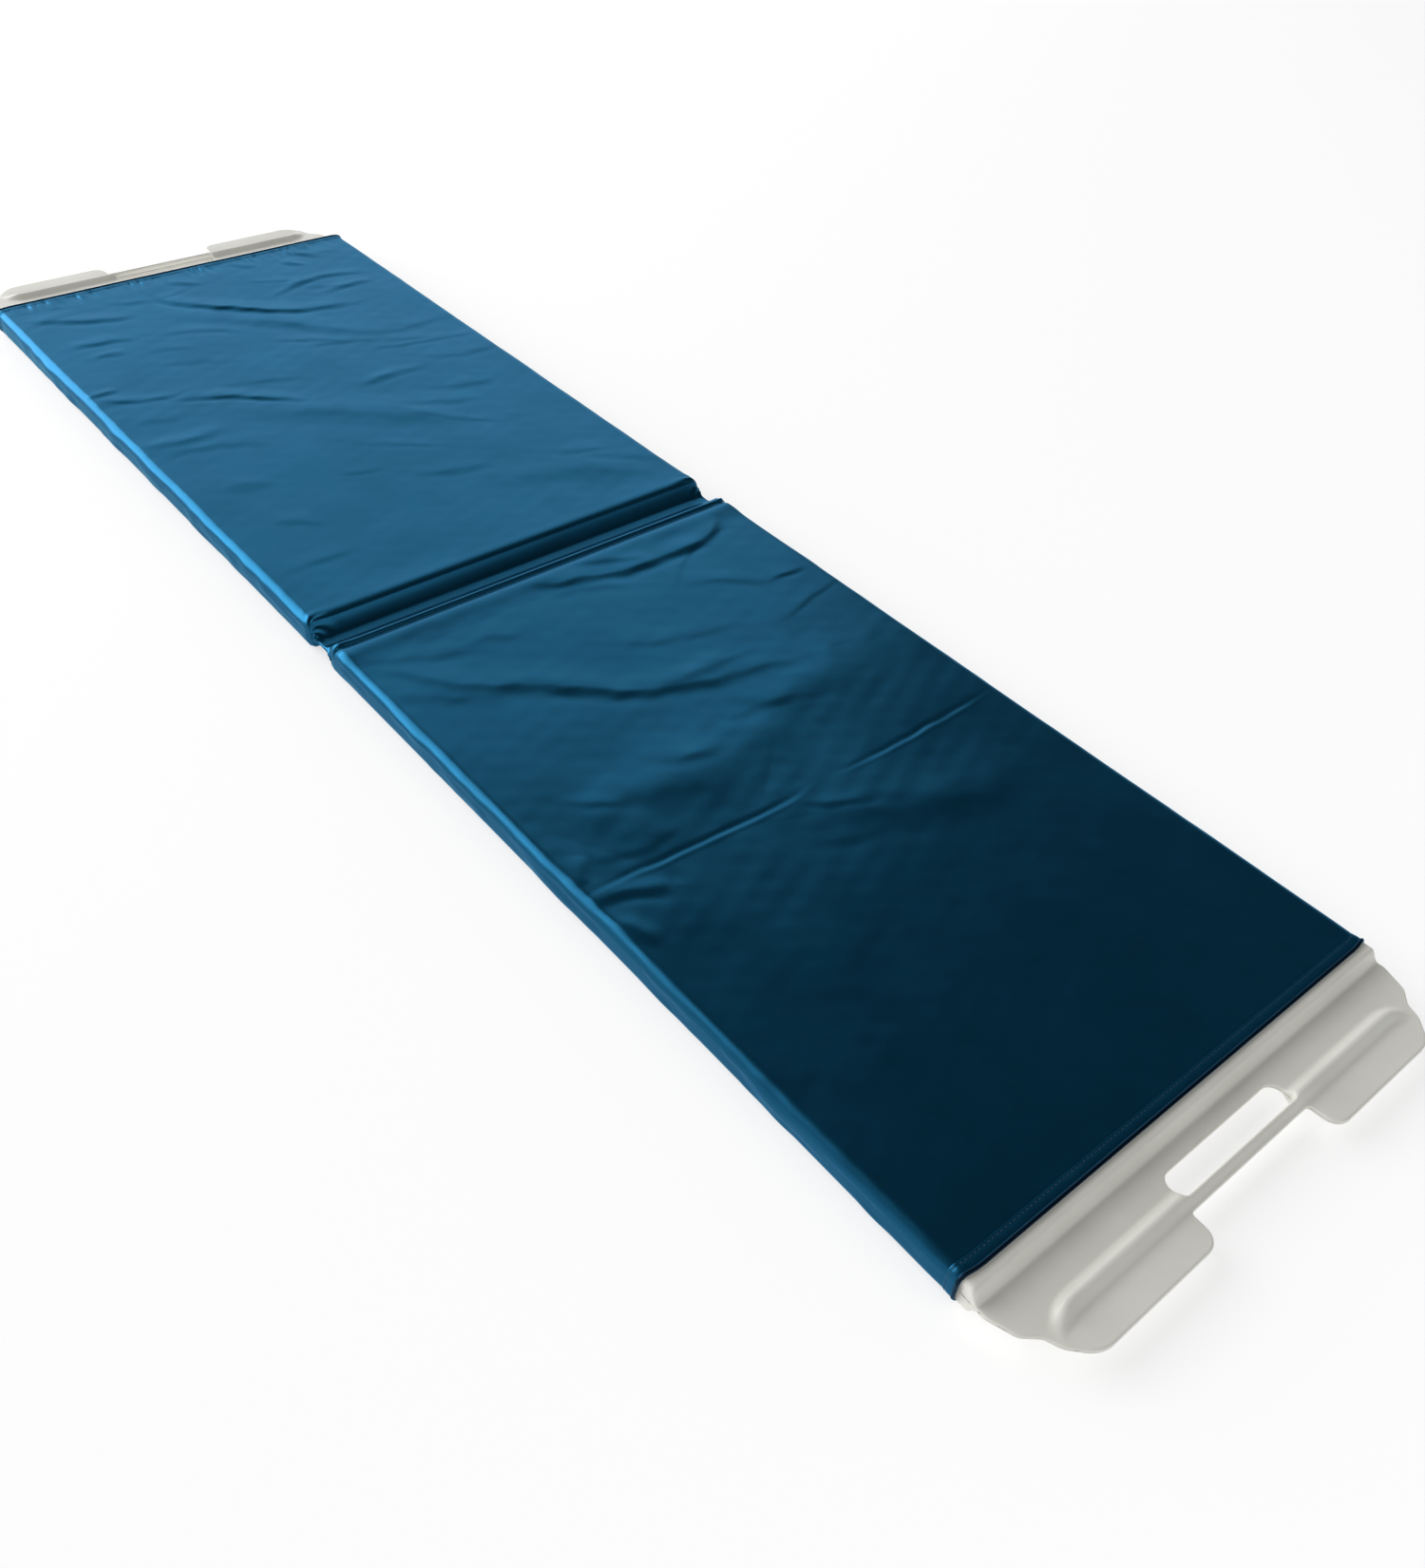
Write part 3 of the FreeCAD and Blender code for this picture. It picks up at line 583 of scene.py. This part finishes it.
def build_sleeve(name):
    """One half of the sleeve, from the middle of the fold to the hem, and the ring that is stitched."""
    end = ENDS[name]
    rows = np.array(sleeve_rows(end))
    ring = ring_places()
    loose = rows[:, 4][:, None]
    flat_x, level, out_x, out_z = (ring[:, i][None, :] for i in range(4))
    side = np.sign(flat_x)
    top = np.clip(out_z, 0, 1) ** 2
    wall = out_x**2
    under = np.clip(-out_z, 0, 1) ** 2

    x, y, z = base_tube(rows, ring)
    z = z + top * loose * top_lift(x, end * y, end)
    z = z + under * loose * underside_lift(x, end * y)
    x = x + side * wall * loose * side_bulge(end * y, z)
    z = z + top * gather_lift(x, y, end)
    pull_in, pull_back = hem_pull(x, y)
    x = x - side * wall * pull_in
    lift, push = fold_end_pleats(x, y, side)
    z = keep_clear(y, z + np.sign(level) * lift, out_z)
    x = x + side * wall * push

    points = np.stack([x, end * (y - pull_back), z], axis=-1)
    faces = grid_faces(len(rows), len(ring), flip=end < 0)
    obj = add_mesh(name + "_sleeve_cloth", points.reshape(-1, 3), faces, MATERIALS["cloth"])
    # The rolled edge's faces take the near-black satin, painted shade for the dark line along the hem.
    obj.data.materials.append(MATERIALS["rolled_edge_painted_shade"])
    hem_row = len(rows) - len(HEM_ROWS)
    band = np.arange(len(faces)) // len(ring) - hem_row
    rolled_shade_faces = (band >= ROLLED_SHADE_BANDS[0]) & (band < ROLLED_SHADE_BANDS[1])
    obj.data.polygons.foreach_set("material_index", rolled_shade_faces.astype(int).tolist())
    return obj, points[hem_row + STITCH_ROW]


def stitch_shape(path, middle):
    """The points and faces of one stitch: a thread along the path that is thin and low at both tips."""
    run = path[-1] - path[0]
    run = run / np.linalg.norm(run)
    along = np.array([0.0, 1.0, 0.0])
    out = np.cross(along, run)
    out = out if out @ (path[0] - middle) > 0 else -out
    points = []
    for place, share in zip(path, np.linspace(-1, 1, STITCH_RINGS)):
        width = max(math.sqrt(1 - share**2), STITCH_TIP)
        centre = place + out * (STITCH_RISE * width - STITCH_SINK)
        for angle in np.linspace(0, math.tau, STITCH_SIDES + 1)[:-1]:
            spoke = math.cos(angle) * along + math.sin(angle) * out
            points.append(centre + STITCH_RADIUS * width * spoke)
    flip = np.cross(along, out) @ run < 0
    first_cap = np.arange(STITCH_SIDES)
    last_cap = first_cap + (STITCH_RINGS - 1) * STITCH_SIDES
    faces = list(grid_faces(STITCH_RINGS, STITCH_SIDES, flip))
    faces.append(first_cap if flip else first_cap[::-1])
    faces.append(last_cap[::-1] if flip else last_cap)
    return points, faces


def build_stitches(name, seam):
    """The hem's row of short thread stitches, all the way round the board along one ring of the sleeve."""
    closed = np.vstack([seam, seam[:1]])
    steps = np.linalg.norm(np.diff(closed, axis=0), axis=1)
    before = np.concatenate([[0], np.cumsum(steps)])
    middle = np.array([0.0, seam[:, 1].mean(), MID_HEIGHT])
    points = []
    faces = []
    for start in np.arange(0.0, before[-1] - STITCH_PITCH, STITCH_PITCH):
        marks = start + STITCH_LENGTH * np.linspace(0, 1, STITCH_RINGS)
        path = np.column_stack([np.interp(marks, before, closed[:, axis]) for axis in range(3)])
        stitch_points, stitch_faces = stitch_shape(path, middle)
        faces.extend(len(points) + face for face in stitch_faces)
        points.extend(stitch_points)
    return add_mesh(name + "_hem_stitches", points, faces, MATERIALS["thread"])


# ---------------------------------------------------------------- the moulded grips

GRIP_START = 852.0
SLOT = (70.0, 887.5, 909.0)

# The relief, as half thicknesses. Places are measured from the hem's end, towards the bar.
LIP_HEIGHT = 14.3
LIP_FALL = 0.25
LIP_FALLING = (0.0, 8.0)
STEP = (7.2, 15.6)
TAB_HEIGHT = 2.2
TAB_SWELL = 0.35
TAB_SWELLING = (58.0, 70.0)

# The ridge: its crest, its two flanks from there, and how it sweeps outwards and fades at the sides.
RIDGE_HEIGHT = 5.6
RIDGE_PLACE = 50.0
INNER_FLANK = (-9.5, -0.6)
OUTER_FLANK = (0.8, 10.0)
RIDGE_STRAIGHT = 192.0
RIDGE_SWEEP = 11.0
SWEEP_WIDTH = 30.0
SWEEP_LIMIT = 1.4
RIDGE_FADING = (200.0, 224.0)

# The edges are rounded over by a share of the half thickness, within limits, and far less at the hidden
# face where the grip starts.
ROUNDING = 0.48
ROUNDING_LIMITS = (1.5, 4.2)
START_ROUNDING = 0.2
START_LENGTH = 4.0

# The two halves stay this far off mid-height, and their small bevels there show as a fine groove.
PARTING_GAP = 0.12
BEVEL_HEIGHT = 0.45
BEVEL_INSET = 0.35


def round_loop(corners, spacing=1.8):
    """A closed loop of points with rounded corners. Each corner is (x, y, radius)."""
    count = len(corners)
    arcs = []
    for i, (x, y, radius) in enumerate(corners):
        here = np.array([x, y])
        back = np.array(corners[i - 1][:2]) - here
        ahead = np.array(corners[(i + 1) % count][:2]) - here
        back_length = np.linalg.norm(back)
        ahead_length = np.linalg.norm(ahead)
        back = back / back_length
        ahead = ahead / ahead_length
        half_angle = math.acos(np.clip(back @ ahead, -1, 1)) / 2
        # a bend takes less than half of either side, so that two bends never meet
        cut = min(radius / math.tan(half_angle), 0.49 * back_length, 0.49 * ahead_length)
        steps = max(3, int(cut * 2 / spacing))
        start = here + back * cut
        stop = here + ahead * cut
        # a conic bend with the weight that makes it a circle's arc
        weight = math.sin(half_angle)
        bend = []
        for t in np.linspace(0, 1, steps + 1):
            a, b, c = (1 - t) ** 2, 2 * t * (1 - t) * weight, t**2
            bend.append((a * start + b * here + c * stop) / (a + b + c))
        arcs.append(bend)
    loop = []
    for i, bend in enumerate(arcs):
        loop.extend(bend)
        follow = arcs[(i + 1) % count][0]
        gap = np.linalg.norm(follow - bend[-1])
        for t in np.linspace(0, 1, int(gap / spacing) + 1)[1:-1] if gap > 2 * spacing else ():
            loop.append(bend[-1] * (1 - t) + follow * t)
    return np.array(loop)


def grip_outline():
    """The grip's plan: it starts under the hem, narrows in steps and ends in two tabs."""
    right = [
        (247.0, GRIP_START, 0.3), (248.5, 880, 14), (240.5, 903, 14), (228, 913.5, 9), (223, 926, 24),
        (205, HALF_LENGTH, 26), (76, HALF_LENGTH, 19), (74, 918.5, 3.5),
    ]
    left = [(-x, y, radius) for x, y, radius in right[::-1]]
    return round_loop(right + left)


def slot_outline():
    half, low, high = SLOT
    return round_loop([(-half, low, 15), (half, low, 15), (half, high, 4), (-half, high, 4)])


def grip_half_height(x, y):
    """Half the thickness of the grip, before its edges are rounded: lip, step, hollow, ridge and tab."""
    s = y - HEM_END
    across = np.abs(x)
    lip = LIP_HEIGHT - LIP_FALL * smoothstep(s, *LIP_FALLING)
    tab = TAB_HEIGHT + TAB_SWELL * smoothstep(s, *TAB_SWELLING)
    height = tab + (lip - tab) * (1 - smoothstep(s, *STEP))
    swept = np.clip((across - RIDGE_STRAIGHT) / SWEEP_WIDTH, 0, SWEEP_LIMIT)
    crest = RIDGE_PLACE + RIDGE_SWEEP * swept**2
    inner = smoothstep(s, crest + INNER_FLANK[0], crest + INNER_FLANK[1])
    outer = 1 - smoothstep(s, crest + OUTER_FLANK[0], crest + OUTER_FLANK[1])
    fade = 1 - smoothstep(across, *RIDGE_FADING)
    return height + RIDGE_HEIGHT * inner * outer * fade


def loop_distance(points, loop):
    """How far each point is from the nearest edge of a closed loop."""
    ends = np.roll(loop, -1, axis=0)
    best = np.full(len(points), np.inf)
    for start, stop in zip(loop, ends):
        run = stop - start
        share = np.clip((points - start) @ run / (run @ run), 0, 1)
        away = points - start - share[:, None] * run
        best = np.minimum(best, np.hypot(away[:, 0], away[:, 1]))
    return best


def is_inside(points, loop):
    """True for each point inside a closed loop."""
    inside = np.zeros(len(points), bool)
    x, y = points[:, 0], points[:, 1]
    for (x0, y0), (x1, y1) in zip(loop, np.roll(loop, -1, axis=0)):
        crosses = (y0 > y) != (y1 > y)
        at = x0 + (y - y0) * (x1 - x0) / (y1 - y0 if y1 != y0 else 1e-9)
        inside ^= crosses & (x < at)
    return inside


def inset_loop(loop, depth):
    """The loop moved by depth to its left, which leads into the grip from its outline and from its slot."""
    run = np.roll(loop, -1, axis=0) - np.roll(loop, 1, axis=0)
    run = run / np.linalg.norm(run, axis=1)[:, None]
    return loop + depth * np.stack([-run[:, 1], run[:, 0]], axis=1)


# the rows of points across the grip, closer together where its relief is steep, and each row's points
GRIP_BREAKS = (
    852, 856, 860, 862.5, 864.5, 866, 867.5, 869, 870.5, 872, 873.5, 875.5, 878.5, 882, 886, 890, 894, 897,
    899, 900.8, 902.4, 904, 905.4, 906.6, 907.6, 908.6, 909.6, 911, 912.6, 914.2, 915.8, 917.4, 919, 921,
    924, 928, 932, 936, 940, 943,
)
GRIP_ACROSS = (-246, 246, 165)

# how far the rings of points lie from the edges, how exactly, and their gap to the rows between them
GRIP_RINGS = (0.35, 0.9, 1.7, 2.8)
RING_TOLERANCE = 0.93
FIELD_GAP = 0.7


def signed_area(loop):
    """The loop's area, positive when it runs anticlockwise."""
    x, y = loop[:, 0], loop[:, 1]
    return 0.5 * float(np.sum(x * np.roll(y, -1) - y * np.roll(x, -1)))


def plan_points(outer, hole):
    """The points of the grip's plan: its two loops, rings along them and rows between."""

    def edge_distance(points):
        return np.minimum(loop_distance(points, outer), loop_distance(points, hole))

    def in_plan(points):
        return is_inside(points, outer) & ~is_inside(points, hole)

    points = [outer, hole]
    for depth in GRIP_RINGS:
        for loop in (outer, hole):
            ring = inset_loop(loop, depth)
            clear = edge_distance(ring) > depth * RING_TOLERANCE
            points.append(ring[clear & in_plan(ring)])
    field = np.array([(x, y) for y in GRIP_BREAKS for x in np.linspace(*GRIP_ACROSS)])
    field = field[in_plan(field)]
    points.append(field[edge_distance(field) > GRIP_RINGS[-1] + FIELD_GAP])
    return np.vstack(points)


def grip_mesh(outline, slot):
    """Anticlockwise triangles over the grip's plan, and the two loops along its edges."""
    outer = outline if signed_area(outline) > 0 else outline[::-1]
    hole = slot if signed_area(slot) < 0 else slot[::-1]
    edges = []
    start = 0
    for loop in (outer, hole):
        count = len(loop)
        edges.extend((start + i, start + (i + 1) % count) for i in range(count))
        start += count
    points = [Vector(point) for point in plan_points(outer, hole)]
    found = delaunay_2d_cdt(points, edges, [], 0, 1e-4)
    verts = np.array([tuple(v) for v in found[0]])
    triangles = np.array([tuple(f) for f in found[2]])
    middles = verts[triangles].mean(axis=1)
    triangles = triangles[is_inside(middles, outer) & ~is_inside(middles, hole)]
    one_side = verts[triangles[:, 1]] - verts[triangles[:, 0]]
    next_side = verts[triangles[:, 2]] - verts[triangles[:, 0]]
    anticlockwise = one_side[:, 0] * next_side[:, 1] - one_side[:, 1] * next_side[:, 0] > 0
    triangles = np.where(anticlockwise[:, None], triangles, triangles[:, ::-1])
    return verts, triangles, outer, hole


def rounded_height(verts, outer, hole):
    """Half the grip's thickness at each point of its plan, with all its edges rounded over."""
    half = grip_half_height(verts[:, 0], verts[:, 1])
    edge = np.minimum(loop_distance(verts, outer), loop_distance(verts, hole))
    start_face = smoothstep(verts[:, 1], GRIP_START, GRIP_START + START_LENGTH)
    radius = np.clip(ROUNDING * half, *ROUNDING_LIMITS)
    radius = radius * (START_ROUNDING + (1 - START_ROUNDING) * start_face)
    depth = np.clip(edge, 0, radius)
    return half - radius + np.sqrt(np.maximum(radius**2 - (radius - depth) ** 2, 0))


def rim_edges(triangles):
    """The edges that only one triangle has, in the order that the triangle runs them."""
    seen = {}
    for a, b, c in triangles.tolist():
        for edge in ((a, b), (b, c), (c, a)):
            seen[edge] = True
    return [edge for edge in seen if (edge[1], edge[0]) not in seen]


def inward_of_rim(verts, rim, rim_ids):
    """For each point on the rim, the direction into the plan with length one. Zero for all others."""
    inward = np.zeros((len(verts), 2))
    for a, b in rim:
        run = verts[b] - verts[a]
        run = run / max(np.linalg.norm(run), 1e-9)
        inward[a] += (-run[1], run[0])
        inward[b] += (-run[1], run[0])
    inward[rim_ids] /= np.linalg.norm(inward[rim_ids], axis=1)[:, None]
    return inward


def build_grip(name, level, plan):
    """One moulded half of a grip: its relief, its rounded rim and its flat parting face."""
    verts, triangles, outer, hole = plan
    end = ENDS[name]
    sign = LEVELS[level]
    count = len(verts)
    rim = rim_edges(triangles)
    rim_ids = sorted({a for pair in rim for a in pair})
    place = {v: i for i, v in enumerate(rim_ids)}

    relief = MID_HEIGHT + sign * rounded_height(verts, outer, hole)
    parting = MID_HEIGHT + sign * PARTING_GAP
    bevel = np.full(len(rim_ids), parting + sign * BEVEL_HEIGHT)
    closed = verts + BEVEL_INSET * inward_of_rim(verts, rim, rim_ids)
    points = np.vstack([
        np.column_stack([verts, relief]),
        np.column_stack([verts[rim_ids], bevel]),
        np.column_stack([closed, np.full(count, parting)]),
    ])
    points[:, 1] *= end

    ledge = count
    base = count + len(rim_ids)
    faces = [tuple(t) for t in triangles.tolist()]
    for a, b in rim:
        faces.append((b, a, ledge + place[a], ledge + place[b]))
        faces.append((ledge + place[b], ledge + place[a], base + a, base + b))
    faces.extend((base + c, base + b, base + a) for a, b, c in triangles.tolist())
    if end * sign < 0:
        faces = [f[::-1] for f in faces]
    return add_mesh(f"{name}_{level}_grip_moulding", points, faces, MATERIALS["plastic"])


# ---------------------------------------------------------------- materials


def grey(level):
    return (level, level, level)


# Linear colours. Each pair is the darker and the lighter shade that a material drifts between.
SLEEVE_BLUES = ((0.0036, 0.073, 0.150), (0.0045, 0.080, 0.163))
# The rolled edge's near-black blues are painted shade: the dark line of shadow along the hem, put into the
# cloth's colour.
ROLLED_EDGE_SHADE_BLUES = ((0.0010, 0.010, 0.024), (0.0015, 0.013, 0.030))
THREAD_BLUES = ((0.006, 0.045, 0.085), (0.010, 0.065, 0.115))
SHEEN_BLUE = (0.20, 0.72, 1.0)
CREAMS = ((0.685, 0.677, 0.622), (0.735, 0.728, 0.676))
FOAM_CREAMS = ((0.62, 0.58, 0.46), (0.74, 0.70, 0.58))
BAR_GREYS = ((0.035, 0.036, 0.038), (0.060, 0.061, 0.064))
STEEL_GREYS = ((0.48, 0.48, 0.47), (0.62, 0.62, 0.61))
WEBBING_BLACKS = ((0.010, 0.011, 0.013), (0.022, 0.023, 0.026))
ELASTIC_BLACKS = ((0.014, 0.015, 0.018), (0.028, 0.029, 0.033))
SATIN_ROUGHNESS = (grey(0.30), grey(0.34))
PLASTIC_ROUGHNESS = (grey(0.34), grey(0.50))


def new_material(name):
    material = bpy.data.materials.new(name)
    material.use_nodes = True
    tree = material.node_tree
    return material, tree.nodes, tree.links, tree.nodes["Principled BSDF"]


def object_noise(nodes, links, scale, detail, stretch=(1, 1, 1)):
    where = nodes.new("ShaderNodeTexCoord")
    place = nodes.new("ShaderNodeMapping")
    noise = nodes.new("ShaderNodeTexNoise")
    place.inputs["Scale"].default_value = stretch
    noise.inputs["Scale"].default_value = scale
    noise.inputs["Detail"].default_value = detail
    links.new(where.outputs["Object"], place.inputs["Vector"])
    links.new(place.outputs["Vector"], noise.inputs["Vector"])
    return noise


def ramp_between(nodes, links, source, low, high, start=0.35, stop=0.65):
    ramp = nodes.new("ShaderNodeValToRGB")
    ramp.color_ramp.elements[0].position = start
    ramp.color_ramp.elements[0].color = (*low, 1)
    ramp.color_ramp.elements[1].position = stop
    ramp.color_ramp.elements[1].color = (*high, 1)
    links.new(source, ramp.inputs["Fac"])
    return ramp


def drift(nodes, links, noise, shades, socket):
    """Lets a socket drift between two shades with a noise."""
    ramp = ramp_between(nodes, links, noise.outputs["Fac"], *shades)
    links.new(ramp.outputs["Color"], socket)


def add_bump(nodes, links, shader, source, strength, distance, under=None):
    """Small relief from a texture's grey, laid over any relief that is already there."""
    bump = nodes.new("ShaderNodeBump")
    bump.inputs["Strength"].default_value = strength
    bump.inputs["Distance"].default_value = distance
    links.new(source, bump.inputs["Height"])
    if under:
        links.new(under.outputs["Normal"], bump.inputs["Normal"])
    links.new(bump.outputs["Normal"], shader.inputs["Normal"])
    return bump


def wave_bands(nodes, links, direction, scale, distortion):
    where = nodes.new("ShaderNodeTexCoord")
    wave = nodes.new("ShaderNodeTexWave")
    wave.bands_direction = direction
    wave.inputs["Scale"].default_value = scale
    wave.inputs["Distortion"].default_value = distortion
    links.new(where.outputs["Object"], wave.inputs["Vector"])
    return wave


def satin_material(name, blues):
    """Satin-coated nylon: a coloured weave with a soft blue sheen."""
    material, nodes, links, shader = new_material(name)
    drift(nodes, links, object_noise(nodes, links, 9.0, 4.0), blues, shader.inputs["Base Color"])
    drift(nodes, links, object_noise(nodes, links, 26.0, 3.0), SATIN_ROUGHNESS, shader.inputs["Roughness"])
    shader.inputs["Metallic"].default_value = 0.84
    shader.inputs["Specular Tint"].default_value = (*SHEEN_BLUE, 1)
    shader.inputs["Coat Weight"].default_value = 0.12
    shader.inputs["Coat Roughness"].default_value = 0.30
    shader.inputs["Specular IOR Level"].default_value = 0.2
    warp = object_noise(nodes, links, 900.0, 1.0, (1.0, 0.12, 1.0))
    weft = object_noise(nodes, links, 900.0, 1.0, (0.12, 1.0, 1.0))
    weave = add_bump(nodes, links, shader, warp.outputs["Fac"], 0.05, 0.0004)
    add_bump(nodes, links, shader, weft.outputs["Fac"], 0.05, 0.0004, weave)
    return material


def plastic_material():
    """Cream polyethylene with a fine moulded grain and faint handling marks."""
    material, nodes, links, shader = new_material("moulded_plastic")
    drift(nodes, links, object_noise(nodes, links, 14.0, 5.0), CREAMS, shader.inputs["Base Color"])
    marks = object_noise(nodes, links, 45.0, 6.0, (0.35, 1.6, 1.0))
    drift(nodes, links, marks, PLASTIC_ROUGHNESS, shader.inputs["Roughness"])
    grain = object_noise(nodes, links, 1100.0, 2.0)
    fine = add_bump(nodes, links, shader, grain.outputs["Fac"], 0.10, 0.0003)
    waves = object_noise(nodes, links, 55.0, 2.0)
    add_bump(nodes, links, shader, waves.outputs["Fac"], 0.06, 0.002, fine)
    return material


def foam_material():
    """Closed-cell foam: pale, dull and full of small cells."""
    material, nodes, links, shader = new_material("foam_core")
    drift(nodes, links, object_noise(nodes, links, 60.0, 3.0), FOAM_CREAMS, shader.inputs["Base Color"])
    shader.inputs["Roughness"].default_value = 0.92
    where = nodes.new("ShaderNodeTexCoord")
    cells = nodes.new("ShaderNodeTexVoronoi")
    cells.inputs["Scale"].default_value = 650.0
    links.new(where.outputs["Object"], cells.inputs["Vector"])
    add_bump(nodes, links, shader, cells.outputs["Distance"], 0.5, 0.0008)
    return material


def nylon_bar_material():
    """Glass-filled nylon, dark grey with a faint grain along its length."""
    material, nodes, links, shader = new_material("nylon_bar")
    grain = object_noise(nodes, links, 120.0, 4.0, (0.1, 1.0, 1.0))
    drift(nodes, links, grain, BAR_GREYS, shader.inputs["Base Color"])
    shader.inputs["Roughness"].default_value = 0.48
    add_bump(nodes, links, shader, grain.outputs["Fac"], 0.15, 0.0004)
    return material


def steel_material():
    """Plain steel for the rivets, with slightly uneven colour."""
    material, nodes, links, shader = new_material("rivet_steel")
    drift(nodes, links, object_noise(nodes, links, 240.0, 3.0), STEEL_GREYS, shader.inputs["Base Color"])
    shader.inputs["Metallic"].default_value = 1.0
    shader.inputs["Roughness"].default_value = 0.34
    return material


def woven_material(name, blacks, direction, scale):
    """A coarse woven tape: ribs in rows along the given direction, and slightly uneven yarn."""
    material, nodes, links, shader = new_material(name)
    yarn = object_noise(nodes, links, 400.0, 2.0)
    drift(nodes, links, yarn, blacks, shader.inputs["Base Color"])
    shader.inputs["Roughness"].default_value = 0.8
    ribs = wave_bands(nodes, links, direction, scale, 0.6)
    tape = add_bump(nodes, links, shader, ribs.outputs["Fac"], 0.5, 0.0005)
    add_bump(nodes, links, shader, yarn.outputs["Fac"], 0.2, 0.0003, tape)
    return material


def thread_material():
    """Polyester sewing thread in the sleeve's colour."""
    material, nodes, links, shader = new_material("sewing_thread")
    drift(nodes, links, object_noise(nodes, links, 700.0, 1.0), THREAD_BLUES, shader.inputs["Base Color"])
    shader.inputs["Roughness"].default_value = 0.6
    return material


def floor_material():
    """A matt floor that glows a little, so that it stays plain white under the soft light."""
    material, nodes, links, shader = new_material("studio_floor")
    shader.inputs["Base Color"].default_value = (*grey(0.40), 1)
    shader.inputs["Emission Color"].default_value = (*grey(1.0), 1)
    shader.inputs["Emission Strength"].default_value = 0.66
    shader.inputs["Roughness"].default_value = 0.9
    return material


MATERIALS = {
    "cloth": satin_material("satin_nylon", SLEEVE_BLUES),
    # Painted shade: the near-black satin that draws the hem's dark line of shadow.
    "rolled_edge_painted_shade": satin_material("satin_rolled_edge_painted_shade", ROLLED_EDGE_SHADE_BLUES),
    "thread": thread_material(),
    "plastic": plastic_material(),
    "foam": foam_material(),
    "bar": nylon_bar_material(),
    "rivet": steel_material(),
    "webbing": woven_material("woven_webbing", WEBBING_BLACKS, "Y", 260.0),
    "elastic": woven_material("ribbed_elastic", ELASTIC_BLACKS, "X", 330.0),
    "floor": floor_material(),
}


# ---------------------------------------------------------------- the whole board

# What each CAD node is made of. Where a node's name holds two of these words, the later one decides.
NODE_MATERIALS = {
    "shell": "plastic", "grip": "plastic", "foam": "foam", "end_bar": "bar", "rivets": "rivet",
    "web": "webbing", "sleeve": "cloth", "hem": "cloth", "casing": "cloth", "elastic": "elastic",
}
FLOOR_REACH = 30000.0
FLOOR_LEVEL = -0.4


def add_floor():
    """A wide floor just under the board."""
    signs = ((-1, -1), (1, -1), (1, 1), (-1, 1))
    corners = [(x * FLOOR_REACH, y * FLOOR_REACH, FLOOR_LEVEL) for x, y in signs]
    return add_mesh("studio_floor", corners, [(0, 1, 2, 3)], MATERIALS["floor"], smooth=False)


add_camera()
add_studio()
floor = add_floor()

for node_name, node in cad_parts.items():
    words = [word for word in NODE_MATERIALS if word in node_name]
    for slot in node.material_slots:
        slot.material = MATERIALS[NODE_MATERIALS[words[-1]]]

plan = grip_mesh(grip_outline(), slot_outline())
for name in ENDS:
    for level in LEVELS:
        grip = build_grip(name, level, plan)
        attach(grip, name + "_panel")
        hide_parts(f"{name}_{level}_grip")

for name in ENDS:
    sleeve, seam = build_sleeve(name)
    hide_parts(name + "_sleeve", name + "_hem")
    if name == "foot":
        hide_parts("fold_sleeve_upper", "fold_sleeve_lower", "fold_casing")
        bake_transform(sleeve)
    else:
        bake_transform(sleeve)

    stitches = build_stitches(name, seam)
    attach(stitches, name + "_panel")
